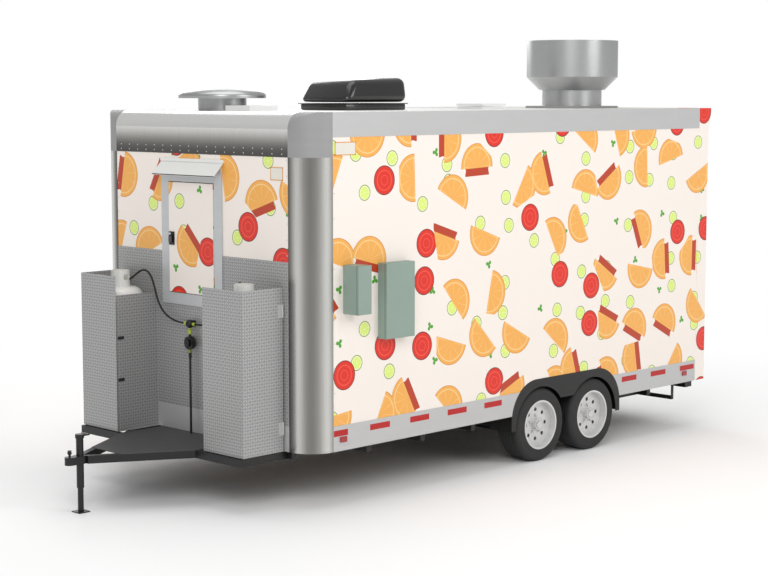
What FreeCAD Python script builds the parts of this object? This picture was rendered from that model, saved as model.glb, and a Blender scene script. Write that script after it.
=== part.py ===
"""Food trailer: a tandem-axle kitchen trailer parked on its tongue jack.

Millimetres. The origin is the middle of the jack's foot, on the ground. +X points to the rear,
+Y to the serving side (the trailer's right) and +Z up.
"""

import FreeCAD, Part

import math
import os
import re

doc = FreeCAD.newDocument("food_trailer")
sheet = doc.addObject("Spreadsheet::Sheet", "Sizes")

SIZES = {
    # body shell
    "nose": 1178,            # front wall's outer face behind the jack
    "body_length": 5142,
    "half_width": 1295,
    "roof_top": 3019,
    "wall": 40,
    "skin": 3,               # rails, skirts and guards over the walls
    "corner_radius": 239,
    "post_top": 2681,        # top of the polished corner posts
    "cap_radius": 130,       # rounding from the front wall into the roof
    "skirt_low": 439,
    "skirt_high": 636,
    "guard_high": 1892,
    "rail_low": 2831,        # lower edge of the side top rails
    "rail_flange": 60,
    "rear_post": 146,
    "header_reach": 50,
    "header_drop": 230,
    # floor and chassis
    "tube_low": 376,
    "tube_height": 60,
    "tube_width": 50,
    "floor_thick": 60,
    "cross_pitch": 610,
    "rail_centre": 700,      # main rails, off the centreline
    # tongue
    "tongue_reach": 1250,    # point of the A-frame ahead of the front wall
    "tongue_angle": 30.4,
    "tongue_gap": 4,         # weld gap between the rails at the point
    "deck_thick": 4,
    "deck_nose": 940,
    "ball_radius": 30,
    "socket_depth": 30,
    "coupler_half": 38,
    "coupler_nose": 1310,
    "coupler_rear": 32,      # where the A-frame's rails start, behind the jack
    "knob_radius": 17,
    "knob_lift": 32,
    # jack
    "jack_top": 600,
    "jack_low": 190,
    "jack_radius": 28,
    "leg_radius": 22,
    "leg_top": 440,
    "foot_half": 50,
    "foot_thick": 8,
    "crank_reach": 90,
    # tank bays
    "bay_front": 419,
    "bay_inner": 543,
    "bay_outer": 1002,
    "bay_high": 1700,
    "bay_inner_high": 1545,
    "bay_sheet": 3,
    "swing_gap": 6,
    "tank_radius": 187,
    "tank_x": 195,           # tank axis ahead of the front wall
    "tank_y": 772,
    "tank_shoulder": 1590,
    "tank_round": 95,
    "collar_radius": 78,
    "collar_top": 1722,
    "collar_sheet": 4,
    # gas plumbing
    "pipe_radius": 9,
    "pipe_stand": 46,        # pipe axis ahead of the front wall
    "pipe_y": 66,
    "pipe_top": 1050,
    "regulator_z": 1175,
    "regulator_radius": 52,
    "changeover_z": 1328,
    "changeover_radius": 34,
    "hose_radius": 8,
    # front hatch
    "hatch_low_y": -204,
    "hatch_high_y": 361,
    "hatch_low": 1560,
    "hatch_high": 2457,
    "hatch_band": 92,
    "hatch_proud": 10,
    "leaf_thick": 30,
    "hinge_out": 12,
    "canopy_low_y": -318,
    "canopy_high_y": 459,
    "canopy_z": 2618,
    "canopy_strip": 25,
    "canopy_slope": 153,
    "canopy_angle": 46.8,
    # serving side
    "serve_start": 1450,     # from the front wall
    "serve_length": 2200,
    "serve_low": 1380,
    "serve_high": 2300,
    "serve_lap": 40,
    "serve_band": 45,
    "shelf_width": 300,
    "shelf_thick": 25,
    # rear door
    "door_half": 420,
    "door_low": 500,
    "door_high": 2450,
    "door_thick": 40,
    "window_half": 200,
    "window_low": 1500,
    "window_high": 2050,
    "glass_thick": 5,
    # running gear
    "wheel_mid": 3070,       # between the two axles, from the front wall
    "axle_spacing": 715,
    "tyre_radius": 317,
    "tyre_width": 228,
    "tyre_round": 38,
    "bead_radius": 205,
    "flange_radius": 213,
    "flange_thick": 5,
    "tyre_inset": 5,         # tyre's outer face inside the body side
    "rim_sheet": 8,
    "disc_inset": 62,
    "hub_radius": 46,
    "bolt_circle": 57,
    "window_radius": 17,
    "window_circle": 128,
    "spindle_radius": 20,
    "spindle_play": 0.3,
    "axle_radius": 38,
    "arm_reach": 150,
    "arm_thick": 22,
    "fender_half": 749,
    "fender_low": 305,
    "fender_high": 722,
    "fender_round": 330,
    "fender_sheet": 4,
    "fender_gap": 18,        # tyre to arch
    "fender_dip": 523,
    "well_gap": 16,          # tyre's inner face to the wheel well
    # electrical boxes on the street side
    "inlet_start": 345,
    "inlet_length": 140,
    "inlet_depth": 170,
    "inlet_low": 1493,
    "inlet_high": 1866,
    "breaker_start": 721,
    "breaker_length": 315,
    "breaker_depth": 97,
    "breaker_low": 1267,
    "breaker_high": 1856,
    "box_round": 7,
    # roof
    "cooler_start": 1397,
    "cooler_length": 698,
    "cooler_half": 300,
    "cooler_height": 274,
    "cooler_base": 66,
    "cooler_round": 70,
    "fan_x": 4390,
    "fan_y": -250,
    "fan_neck": 281,
    "fan_neck_top": 3188,
    "fan_throat": 310,
    "fan_radius": 431,
    "fan_shoulder": 3310,
    "fan_top": 3650,
    "fan_sheet": 4,
    "mushroom_x": 640,
    "mushroom_y": 450,
    "mushroom_stem": 200,
    "mushroom_radius": 362,
    "mushroom_low": 3118,
    "mushroom_lip": 18,
    "mushroom_rise": 88,
    "vent_x": 3030,
    "vent_y": -300,
    "vent_half": 150,
    "vent_curb": 26,
    "vent_lid": 18,
    "cap_x": 560,
    "cap_y": -10,
    # rear underside
    "bumper_low": 362,
    "bumper_half": 1200,
    "stay_outer": 1200,
    "stay_inner": 770,
    "stay_low": 272,
    "stay_front": 4480,
    "stay_rear": 4790,
    "stay_bar": 32,
    "lamp_height": 160,
    "lamp_width": 110,
    "lamp_depth": 14,
}

for row, (alias, value) in enumerate(SIZES.items(), start=1):
    sheet.set(f"A{row}", alias)
    sheet.set(f"B{row}", str(value))
    sheet.setAlias(f"B{row}", alias)
doc.recompute()

PARTS = {}  # label of each finished sub-part: its object


def formula(text):
    """The sheet's name goes in front of every alias."""
    return re.sub(r"[a-z_]+", lambda word: "Sizes." + word[0] if word[0] in SIZES else word[0], text)


def size(text):
    """A formula's value in millimetres, for choosing edges and for positions in loops."""
    names = {alias: float(sheet.get(alias)) for alias in SIZES}
    tokens = re.sub(r"[a-z_]+", lambda word: repr(names[word[0]]), text)
    total, sign = 0.0, 1.0
    for token in re.findall(r"[+-]|[0-9.*/ ]+", tokens):
        if token in "+-":
            sign *= -1.0 if token == "-" else 1.0
            continue
        if not token.strip():
            continue
        value = 1.0
        operator = "*"
        for piece in re.findall(r"[*/]|[0-9.]+", token):
            if piece in "*/":
                operator = piece
            else:
                value = value * float(piece) if operator == "*" else value / float(piece)
        total += sign * value
        sign = 1.0
    return total


def bind(thing, **properties):
    for name, text in properties.items():
        thing.setExpression(name.replace("__", "."), formula(text))
    return thing


def place(thing, x="0", y="0", z="0"):
    return bind(thing, Placement__Base__x=x, Placement__Base__y=y, Placement__Base__z=z)


def block(low, high, name="block"):
    """A box between two corners, each a triple of formulas."""
    thing = doc.addObject("Part::Box", name)
    bind(thing, Length=f"({high[0]}) - ({low[0]})", Width=f"({high[1]}) - ({low[1]})",
         Height=f"({high[2]}) - ({low[2]})")
    return place(thing, *low)


TURN = {"z": (0, 0, 1, 0), "x": (0, 1, 0, 90), "y": (1, 0, 0, -90)}


def rod(start, along, radius, length, name="rod"):
    """A cylinder that starts at a point and runs along +x, +y or +z."""
    thing = doc.addObject("Part::Cylinder", name)
    turn = TURN[along]
    thing.Placement = FreeCAD.Placement(FreeCAD.Vector(), FreeCAD.Rotation(FreeCAD.Vector(turn[:3]), turn[3]))
    bind(thing, Radius=radius, Height=length)
    return place(thing, *start)


def ball(centre, radius, name="ball"):
    thing = doc.addObject("Part::Sphere", name)
    bind(thing, Radius=radius)
    return place(thing, *centre)


def cone(start, low_radius, high_radius, height, name="cone"):
    thing = doc.addObject("Part::Cone", name)
    bind(thing, Radius1=low_radius, Radius2=high_radius, Height=height)
    return place(thing, *start)


def fuse(*things, name="joined"):
    thing = doc.addObject("Part::MultiFuse", name)
    thing.Shapes = list(things)
    thing.Refine = True
    return thing


def cut(base, *tools, name="cut"):
    thing = doc.addObject("Part::Cut", name)
    thing.Base = base
    thing.Tool = fuse(*tools) if len(tools) > 1 else tools[0]
    return thing


def common(base, tool, name="shared"):
    thing = doc.addObject("Part::Common", name)
    thing.Base = base
    thing.Tool = tool
    return thing


def mirror(source, name="mirrored"):
    """The same piece on the other side of the centreline."""
    thing = doc.addObject("Part::Mirroring", name)
    thing.Source = source
    thing.Base = FreeCAD.Vector(0, 0, 0)
    thing.Normal = FreeCAD.Vector(0, 1, 0)
    return thing


def together(*things, name="set"):
    """Like pieces that don't touch, as one sub-part."""
    thing = doc.addObject("Part::Compound", name)
    thing.Links = list(things)
    return thing


def rounded(base, radius, wanted, name="rounded"):
    """Part::Fillet on the edges that a rule picks by direction and middle."""
    doc.recompute()
    picked = []
    for number, edge in enumerate(base.Shape.Edges, start=1):
        if not isinstance(edge.Curve, (Part.Line, Part.Circle)):
            continue
        direction = edge.Curve.Direction if isinstance(edge.Curve, Part.Line) else edge.Curve.Axis
        middle = edge.BoundBox.Center
        if wanted(direction, middle, isinstance(edge.Curve, Part.Line)):
            picked.append((number, size(radius), size(radius)))
    if not picked:
        raise ValueError(f"no edge to round on {base.Name}")
    thing = doc.addObject("Part::Fillet", name)
    thing.Base = base
    thing.Edges = picked
    return thing


def part(label, thing):
    thing.Label = label
    PARTS[label] = thing
    return thing


def both(label, thing):
    """A street-side piece and its mirror image, as one sub-part."""
    return part(label, together(thing, mirror(thing)))


# ---------------------------------------------------------------- shared places
TAIL = "nose + body_length"
FLOOR_LOW = "tube_low + tube_height"
FLOOR_TOP = "tube_low + tube_height + floor_thick"
ROOF_LOW = "roof_top - skin - wall"
ROOF_HIGH = "roof_top - skin"
WALL_OUT = "half_width - skin"
WALL_IN = "half_width - skin - wall"
POST_Y = "half_width - corner_radius"
POST_X = "nose + corner_radius"
SIDE_END = "nose + body_length - rear_post"
TYRE_OUT = "half_width - tyre_inset"
TYRE_IN = "half_width - tyre_inset - tyre_width"
WELL_IN = "half_width - tyre_inset - tyre_width - well_gap"
FENDER_FRONT = "nose + wheel_mid - fender_half"
FENDER_REAR = "nose + wheel_mid + fender_half"
AXLES = {"front": "nose + wheel_mid - axle_spacing / 2", "rear": "nose + wheel_mid + axle_spacing / 2"}
CLEAR = "1000"  # how far a cutting tool runs past what it cuts


def fender_outline(inset, low, high):
    """A solid with the fender's round-shouldered side view, between two y values (inset inwards)."""
    body = block((f"{FENDER_FRONT} + {inset}", low, f"fender_low - {inset}"),
                 (f"{FENDER_REAR} - {inset}", high, f"fender_high - {inset}"))
    return rounded(body, f"fender_round - {inset}",
                   lambda way, mid, straight: abs(way.y) > 0.9 and mid.z > size("fender_low") + 100)


# ---------------------------------------------------------------- body shell
def side_wall():
    """The street side: one flat panel, cut for the wheels."""
    panel = block((POST_X, f"-({WALL_OUT})", "skirt_low"), (SIDE_END, f"-({WALL_IN})", ROOF_LOW))
    return cut(panel, fender_outline("0", f"-({WALL_OUT}) - 10", f"-({WALL_IN}) + 10"))


def serving_wall():
    """The serving side: the same panel with the serving opening."""
    panel = block((POST_X, WALL_IN, "skirt_low"), (SIDE_END, WALL_OUT, ROOF_LOW))
    opening = block(("nose + serve_start", f"{WALL_IN} - 10", "serve_low"),
                    ("nose + serve_start + serve_length", f"{WALL_OUT} + 10", "serve_high"))
    return cut(panel, fender_outline("0", f"{WALL_IN} - 10", f"{WALL_OUT} + 10"), opening)


def front_wall():
    panel = block(("nose + skin", f"-({POST_Y})", "skirt_low"), ("nose + skin + wall", POST_Y, "post_top"))
    opening = block(("nose - 10", "hatch_low_y", "hatch_low"),
                    ("nose + skin + wall + 10", "hatch_high_y", "hatch_high"))
    return cut(panel, opening)


def rear_wall():
    panel = block((f"{TAIL} - wall", f"-({WALL_IN})", "skirt_low"), (TAIL, WALL_IN, ROOF_LOW))
    opening = block((f"{TAIL} - wall - 10", "-door_half", "door_low"),
                    (f"{TAIL} + 10", "door_half", "door_high"))
    return cut(panel, opening)


def roof():
    return block((POST_X, f"-({WALL_OUT})", ROOF_LOW), (TAIL, WALL_OUT, ROOF_HIGH))


def floor():
    deck = block(("nose + skin + wall", f"-({WALL_IN})", FLOOR_LOW), (f"{TAIL} - wall", WALL_IN, FLOOR_TOP))
    well = block((FENDER_FRONT, f"-({WALL_IN}) - 10", f"{FLOOR_LOW} - 10"),
                 (FENDER_REAR, f"-({WELL_IN})", f"{FLOOR_TOP} + 10"))
    corner = block(("nose", f"-({WALL_IN}) - 10", f"{FLOOR_LOW} - 10"),
                   (POST_X, f"-({POST_Y})", f"{FLOOR_TOP} + 10"))
    filler = common(rod((POST_X, f"-({POST_Y})", FLOOR_LOW), "z", "corner_radius - wall", "floor_thick"), corner)
    return fuse(cut(deck, well, mirror(well), corner, mirror(corner)), filler, mirror(filler))


def corner_column(low, high, outer, inner):
    """A quarter ring round the street-side front corner."""
    shell = rod((POST_X, f"-({POST_Y})", low), "z", outer, f"({high}) - ({low})")
    core = rod((POST_X, f"-({POST_Y})", f"({low}) - 10"), "z", inner, f"({high}) - ({low}) + 20")
    quarter = block(("nose - 10", f"-({POST_Y}) - corner_radius - 10", f"({low}) - 10"),
                    (POST_X, f"-({POST_Y})", f"({high}) + 10"))
    return common(cut(shell, core), quarter)


def cap_outline(inset, low, high, past):
    """The rounded front edge of the roof as a solid between two y values."""
    body = block((f"nose + {inset}", low, f"post_top - {past}"),
                 (f"{POST_X} + {past}", high, f"roof_top - {inset}"))
    return rounded(body, f"cap_radius - {inset}",
                   lambda way, mid, straight: abs(way.y) > 0.9 and mid.z > size("post_top") + 100
                   and mid.x < size("nose + corner_radius") - 50)


def roof_cap():
    """The polished front cap between the two corner castings."""
    outer = cap_outline("0", f"-({POST_Y})", POST_Y, "0")
    inner = cap_outline("wall", f"-({POST_Y}) - 10", f"{POST_Y} + 10", "10")
    return cut(outer, inner)


def corner_casting():
    """The corner piece: the post's plan and the cap's side view in one."""
    column = rod((POST_X, f"-({POST_Y})", "post_top"), "z", "corner_radius", "roof_top - post_top")
    core = rod((POST_X, f"-({POST_Y})", "post_top - 10"), "z", "corner_radius - wall",
               "roof_top - post_top - wall + 10")
    quarter = cap_outline("0", f"-({POST_Y}) - corner_radius - 10", f"-({POST_Y})", "0")
    hollow = cap_outline("wall", f"-({POST_Y}) - corner_radius - 20", f"-({POST_Y}) + 10", "10")
    return cut(common(column, quarter), common(core, hollow))


def top_rail():
    """An angle: one leg down the side, one over the roof."""
    leg = block((POST_X, "-half_width", "rail_low"), (SIDE_END, f"-({WALL_OUT})", "roof_top"))
    flange = block((POST_X, "-half_width", ROOF_HIGH), (SIDE_END, "-half_width + rail_flange", "roof_top"))
    return fuse(leg, flange)


def skirts():
    """Side skirts cut for the fenders, and the kick strip across the front."""
    plate = block((POST_X, "-half_width", "skirt_low"), (SIDE_END, f"-({WALL_OUT})", "skirt_high"))
    street = cut(plate, fender_outline("0", "-half_width - 10", f"-({WALL_OUT}) + 10"))
    kick = block(("nose", f"-({POST_Y})", "skirt_low"), ("nose + skin", POST_Y, "skirt_high"))
    return together(street, mirror(street), kick)


def rear_frame():
    """Rear corner posts and the small hood over the door."""
    post = block((SIDE_END, "-half_width", "skirt_low"), (TAIL, f"-({WALL_IN})", ROOF_LOW))
    rail = block((SIDE_END, "-half_width", ROOF_LOW), (TAIL, f"-({WALL_OUT})", "roof_top"))
    post = fuse(post, rail)
    hood = doc.addObject("Part::Wedge", "hood")
    bind(hood, Xmin="0", Xmax="2 * half_width", X2min="0", X2max="2 * half_width",
         Ymin="0", Ymax="header_drop", Zmin="0", Zmax="1", Z2min="0", Z2max="header_reach")
    hood.Placement = FreeCAD.Placement(
        FreeCAD.Vector(), FreeCAD.Rotation(FreeCAD.Vector(0, 1, 0), FreeCAD.Vector(0, 0, 1),
                                           FreeCAD.Vector(1, 0, 0), "XYZ"))
    place(hood, TAIL, "-half_width", "roof_top - header_drop")
    return together(post, mirror(post), hood)


def stone_guard():
    plate = block(("nose", f"-({POST_Y})", "skirt_high"), ("nose + skin", POST_Y, "guard_high"))
    gap = block(("nose - 10", "hatch_low_y - hatch_band", "hatch_low - hatch_band"),
                ("nose + skin + 10", "hatch_high_y + hatch_band", "guard_high + 10"))
    return cut(plate, gap)


# ---------------------------------------------------------------- chassis and tongue
def main_rails():
    return block(("nose + tube_width", "-rail_centre - tube_width / 2", "tube_low - tube_height"),
                 (f"{TAIL} - tube_width - 60", "-rail_centre + tube_width / 2", "tube_low"))


def cross_tubes():
    """Tubes across under the floor, shorter between the wheel wells."""
    tubes = []
    count = int((size("body_length") - 2 * size("tube_width")) // size("cross_pitch")) + 1
    for number in range(count):
        start = f"nose + tube_width / 2 + {number} * cross_pitch"
        front, rear = size(start), size(f"{start} + tube_width")
        beside = rear < size(FENDER_FRONT) or front > size(FENDER_REAR)
        reach = WALL_IN if beside else f"{WELL_IN} - 10"
        if front < size(POST_X):
            reach = POST_Y
        tubes.append(block((start, f"-({reach})", "tube_low"),
                           (f"{start} + tube_width", reach, FLOOR_LOW)))
    return together(*tubes)


def tongue_rail():
    """One A-frame rail, from the point back to the first cross tube."""
    rail = doc.addObject("Part::Box", "rail")
    rail.Placement = FreeCAD.Placement(FreeCAD.Vector(), FreeCAD.Rotation(FreeCAD.Vector(0, 0, 1), -30))
    bind(rail, Length="2 * tongue_reach", Width="tube_width", Height="tube_height",
         Placement__Rotation__Angle="-tongue_angle")
    place(rail, "nose - tongue_reach", "0", "tube_low")
    keep = block(("coupler_rear", "-2 * half_width", "tube_low - 10"),
                 ("nose + tube_width / 2", "-tongue_gap / 2", f"{FLOOR_LOW} + 10"))
    return common(rail, keep)


def bay_frame(rail):
    """The tube round the tank bays, ahead of the front wall."""
    front = block(("nose - bay_front - tube_width / 2", "-bay_outer", "tube_low"),
                  ("nose - bay_front + tube_width / 2", "bay_outer", FLOOR_LOW))
    side = block(("nose - bay_front - tube_width / 2", "-bay_outer", "tube_low"),
                 ("nose + tube_width / 2", "-bay_outer + tube_width", FLOOR_LOW))
    hoop = fuse(front, side, mirror(side))
    return cut(hoop, rail, mirror(rail))


def tongue_deck():
    """The plate over the A-frame: level between the bays, narrowing to the coupler."""
    slope = "tan(tongue_angle)"
    nose_half = f"(tongue_reach - deck_nose) * {slope}"
    wide_half = f"(tongue_reach - bay_front) * {slope}"
    plate = doc.addObject("Part::Wedge", "deck_nose_plate")
    bind(plate, Xmin=f"-({nose_half})", Xmax=nose_half, X2min=f"-({wide_half})", X2max=wide_half,
         Ymin="0", Ymax="deck_nose - bay_front", Zmin="0", Zmax="deck_thick",
         Z2min="0", Z2max="deck_thick")
    plate.Placement = FreeCAD.Placement(FreeCAD.Vector(), FreeCAD.Rotation(FreeCAD.Vector(0, 0, 1), -90))
    place(plate, "nose - deck_nose", "0", FLOOR_LOW)
    level = block(("nose - bay_front", f"-({wide_half})", FLOOR_LOW),
                  ("nose", wide_half, f"{FLOOR_LOW} + deck_thick"))
    return fuse(plate, level)


def coupler():
    """The ball coupler: a hollow nose, the block that the A-frame and the jack pass into, a latch knob."""
    middle = "nose - coupler_nose + coupler_half"
    shell = rod((middle, "0", "tube_low"), "z", "coupler_half", "tube_height")
    channel = block((middle, "-coupler_half", "tube_low"), ("coupler_rear", "coupler_half", FLOOR_LOW))
    socket = rod((middle, "0", "tube_low - 10"), "z", "ball_radius", "socket_depth + 10")
    jack_hole = rod(("0", "0", "tube_low - 10"), "z", "jack_radius", "tube_height + 20")
    stem = rod((middle, "0", FLOOR_LOW), "z", "knob_radius / 2", "knob_lift")
    knob = ball((middle, "0", f"{FLOOR_LOW} + knob_lift"), "knob_radius")
    return fuse(cut(fuse(shell, channel), socket, jack_hole), stem, knob)


def jack_tube():
    """The outer tube with its top cap and side crank. It passes down through the A-frame's point."""
    tube = cut(rod(("0", "0", "jack_low"), "z", "jack_radius", "jack_top - jack_low - 30"),
               rod(("0", "0", "jack_low - 10"), "z", "leg_radius + 2", "jack_top - jack_low - 30"))
    cap = rod(("0", "0", "jack_top - 30"), "z", "jack_radius + 6", "30")
    stub = rod(("0", "0", "jack_top - 15"), "x", "6", "crank_reach")
    arm = rod(("crank_reach - 8", "0", "jack_top - 15"), "y", "5", "crank_reach")
    return fuse(tube, cap, stub, arm)


def jack_leg():
    leg = rod(("0", "0", "0"), "z", "leg_radius", "leg_top")
    foot = block(("-foot_half", "-foot_half", "0"), ("foot_half", "foot_half", "foot_thick"))
    return fuse(leg, foot)


# ---------------------------------------------------------------- tank bays
def bay_shell():
    """Street side: floor sheet and the fixed inner panel."""
    tray = block(("nose - bay_front + bay_sheet + swing_gap", "-bay_outer + bay_sheet + swing_gap", FLOOR_LOW),
                 ("nose", "-bay_inner", f"{FLOOR_LOW} + bay_sheet"))
    panel = block(("nose - bay_front + bay_sheet + swing_gap", "-bay_inner - bay_sheet", FLOOR_LOW),
                  ("nose", "-bay_inner", "bay_inner_high"))
    return fuse(tray, panel)


def bay_door():
    """The bent door: front and outer panels in one, hung at the wall."""
    low = f"{FLOOR_LOW} + swing_gap"
    front = block(("nose - bay_front", "-bay_outer", low),
                  ("nose - bay_front + bay_sheet", "-bay_inner", "bay_high"))
    side = block(("nose - bay_front", "-bay_outer", low),
                 ("nose - hinge_out", "-bay_outer + bay_sheet", "bay_high"))
    return fuse(front, side)


def gas_tank():
    """An upright gas cylinder with its foot ring and collar."""
    body = doc.addObject("PartDesign::Body", "tank")
    bottle = body.newObject("PartDesign::AdditiveCylinder", "bottle")
    bind(bottle, Radius="tank_radius", Height=f"tank_shoulder - ({FLOOR_LOW}) - bay_sheet - 25")
    doc.recompute()
    rims = [f"Edge{number}" for number, edge in enumerate(bottle.Shape.Edges, start=1)
            if isinstance(edge.Curve, Part.Circle)]
    shoulders = body.newObject("PartDesign::Fillet", "shoulders")
    shoulders.Base = (bottle, rims)
    bind(shoulders, Radius="tank_round")
    body.Tip = shoulders
    place(body, "nose - tank_x", "-tank_y", f"{FLOOR_LOW} + bay_sheet + 25")
    ring = cut(rod(("nose - tank_x", "-tank_y", f"{FLOOR_LOW} + bay_sheet"), "z", "tank_radius - 40", "60"),
               rod(("nose - tank_x", "-tank_y", FLOOR_LOW), "z", "tank_radius - 40 - collar_sheet", "30"))
    collar = cut(rod(("nose - tank_x", "-tank_y", "tank_shoulder - 10"), "z", "collar_radius",
                     "collar_top - tank_shoulder + 10"),
                 rod(("nose - tank_x", "-tank_y", "tank_shoulder"), "z", "collar_radius - collar_sheet",
                     "collar_top - tank_shoulder + 10"),
                 block(("nose - tank_x - 22", "-tank_y", "collar_top - 75"),
                       ("nose - tank_x + 22", "-tank_y + 2 * collar_radius", "collar_top - 30")))
    valve = fuse(rod(("nose - tank_x", "-tank_y", "tank_shoulder - 10"), "z", "17", "62"),
                 rod(("nose - tank_x", "-tank_y", "tank_shoulder + 52"), "z", "26", "16"))
    return fuse(body, ring, collar, valve)


# ---------------------------------------------------------------- gas plumbing
PIPE_X = "nose - pipe_stand"


def gas_regulator():
    """Changeover valve on top, regulator under it, and the rigid supply pipe down to the deck."""
    top = ball((PIPE_X, "pipe_y", "changeover_z"), "changeover_radius")
    nipple = rod((PIPE_X, "pipe_y", "regulator_z"), "z", "11", "changeover_z - regulator_z")
    dish = rod((f"{PIPE_X} - 20", "pipe_y", "regulator_z"), "x", "regulator_radius", "38")
    stem = rod((PIPE_X, "pipe_y", "pipe_top"), "z", "12", "regulator_z - pipe_top")
    ports = rod((PIPE_X, "pipe_y - changeover_radius - 26", "changeover_z"), "y", "10",
                "2 * changeover_radius + 52")
    bracket = block((f"{PIPE_X} + 10", "pipe_y - 18", "changeover_z - 25"),
                    ("nose", "pipe_y + 18", "changeover_z + 25"))
    pipe = rod((PIPE_X, "pipe_y", f"{FLOOR_LOW} + deck_thick"), "z", "pipe_radius",
               f"pipe_top - ({FLOOR_LOW}) - deck_thick + 10")
    return fuse(top, nipple, dish, stem, ports, bracket, pipe)


# Routes of the two hoses, from the tank valve to the changeover valve, ahead of the front wall.
RIGHT_HOSE = [  # serving side
    (-178, 751, 1628), (-159, 725, 1637), (-142, 697, 1655), (-127, 666, 1681), (-113, 634, 1709),
    (-101, 599, 1728), (-91, 562, 1727), (-83, 528, 1702), (-76, 502, 1655), (-69, 483, 1590),
    (-64, 464, 1520), (-60, 437, 1457), (-56, 395, 1404), (-52, 337, 1365), (-49, 272, 1342),
    (-47, 205, 1331), (-46, 160, 1328), (-46, 126, 1328),
]
LEFT_HOSE = [  # street side
    (-178, -751, 1628), (-158, -724, 1650), (-140, -694, 1676), (-124, -662, 1702), (-110, -630, 1716),
    (-98, -596, 1706), (-88, -566, 1668), (-80, -538, 1612), (-74, -510, 1550), (-69, -474, 1490),
    (-64, -428, 1438), (-59, -374, 1396), (-55, -312, 1366), (-51, -246, 1348), (-48, -180, 1338),
    (-46, -116, 1332), (-46, -54, 1329), (-46, 6, 1328),
]


def hose(name, route):
    """A tube of straight runs joined by the largest tangent arcs that the runs allow."""
    points = [FreeCAD.Vector(size("nose") + x, y, z) for x, y, z in route]
    edges, here, radii = [], points[0], []
    for before, corner, after in zip(points, points[1:], points[2:]):
        back, ahead = before - corner, after - corner
        shorter = min(back.Length, ahead.Length)
        back.normalize()
        ahead.normalize()
        turn = math.pi - back.getAngle(ahead)
        reach = 0.45 * shorter
        radii.append(reach / math.tan(turn / 2))
        start, end = corner + back * reach, corner + ahead * reach
        inward = (back + ahead).normalize()
        middle = corner + inward * (radii[-1] / math.cos(turn / 2) - radii[-1])
        edges.append(Part.LineSegment(here, start).toShape())
        edges.append(Part.Arc(start, middle, end).toShape())
        here = end
    edges.append(Part.LineSegment(here, points[-1]).toShape())
    path = Part.Wire(edges)
    radius = size("hose_radius")
    ring = Part.Wire([Part.Circle(points[0], points[1] - points[0], radius).toShape()])
    tube = path.makePipeShell([ring], True, False)
    length = sum(edge.Length for edge in edges)
    expected = math.pi * radius ** 2 * length
    print(f"{name}: length {length:.0f} mm, smallest radius {min(radii):.0f} mm, "
          f"volume {tube.Volume / expected:.3f} of section times length")
    thing = doc.addObject("Part::Feature", name)
    thing.Shape = tube
    return thing


# ---------------------------------------------------------------- front hatch
def hatch_frame():
    ring = block(("nose - hatch_proud", "hatch_low_y - hatch_band", "hatch_low - hatch_band"),
                 ("nose + skin", "hatch_high_y + hatch_band", "hatch_high + hatch_band"))
    hole = block(("nose - hatch_proud - 10", "hatch_low_y", "hatch_low"),
                 ("nose + skin + 10", "hatch_high_y", "hatch_high"))
    return cut(ring, hole)


def hatch_door():
    return block(("nose - hatch_proud - 4", "hatch_low_y + swing_gap", "hatch_low + swing_gap"),
                 ("nose - hatch_proud - 4 + leaf_thick", "hatch_high_y - swing_gap", "hatch_high - swing_gap"))


def hatch_latch():
    """The paddle latch and its bezel on the free edge."""
    face = "nose - hatch_proud - 4"
    bezel = block((f"{face} - 8", "hatch_high_y - 76", "hatch_low + 385"),
                  (face, "hatch_high_y - 12", "hatch_low + 492"))
    paddle = block((f"{face} - 20", "hatch_high_y - 62", "hatch_low + 405"),
                   (f"{face} - 8", "hatch_high_y - 26", "hatch_low + 465"))
    return fuse(bezel, paddle)


def hatch_canopy():
    """The rain flap over the hatch, hung from a strip on the wall."""
    strip = block(("nose - 12", "canopy_low_y", "canopy_z"),
                  ("nose + skin", "canopy_high_y", "canopy_z + canopy_strip"))
    flap = doc.addObject("Part::Box", "flap")
    flap.Placement = FreeCAD.Placement(FreeCAD.Vector(), FreeCAD.Rotation(FreeCAD.Vector(0, 1, 0), 45))
    bind(flap, Length="canopy_slope", Width="canopy_high_y - canopy_low_y - 8", Height="skin",
         Placement__Rotation__Angle="180 - canopy_angle")
    place(flap, "nose", "canopy_low_y + 4", "canopy_z + skin / cos(canopy_angle)")
    keep = block((f"nose - {CLEAR}", "canopy_low_y", "canopy_z - canopy_slope"),
                 ("nose + skin", "canopy_high_y", "canopy_z + canopy_strip"))
    return fuse(strip, common(flap, keep))


# ---------------------------------------------------------------- serving side
SERVE_FRONT = "nose + serve_start"
SERVE_REAR = "nose + serve_start + serve_length"
LEAF_Y = "half_width + swing_gap"
SERVE_PIN_Z = "serve_high + serve_lap + hinge_out"
SHELF_PIN_Z = "serve_low - serve_lap - 2 * hinge_out - swing_gap - 2"


def serving_frame():
    """The trim inside the opening, with the hinge rails of the hatch and the shelf."""
    ring = block((SERVE_FRONT, WALL_IN, "serve_low"), (SERVE_REAR, WALL_OUT, "serve_high"))
    hole = block((f"{SERVE_FRONT} + serve_band", f"{WALL_IN} - 10", "serve_low + serve_band"),
                 (f"{SERVE_REAR} - serve_band", f"{WALL_OUT} + 10", "serve_high - serve_band"))
    return cut(ring, hole)


def hinge_rail(pin_z, name):
    """A strip on the wall that carries a hinge pin the length of the opening."""
    strip = block((SERVE_FRONT, WALL_OUT, f"{pin_z} + 6"), (SERVE_REAR, f"{WALL_OUT} + 6", f"{pin_z} + 46"))
    web = block((SERVE_FRONT, f"{WALL_OUT} + 6", f"{pin_z} + 6"),
                (SERVE_REAR, f"{LEAF_Y} + leaf_thick / 2", f"{pin_z} + 9"))
    pin = rod((SERVE_FRONT, f"{LEAF_Y} + leaf_thick / 2", f"{pin_z}"), "x", "7", "serve_length")
    return fuse(strip, web, pin, name=name)


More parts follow.
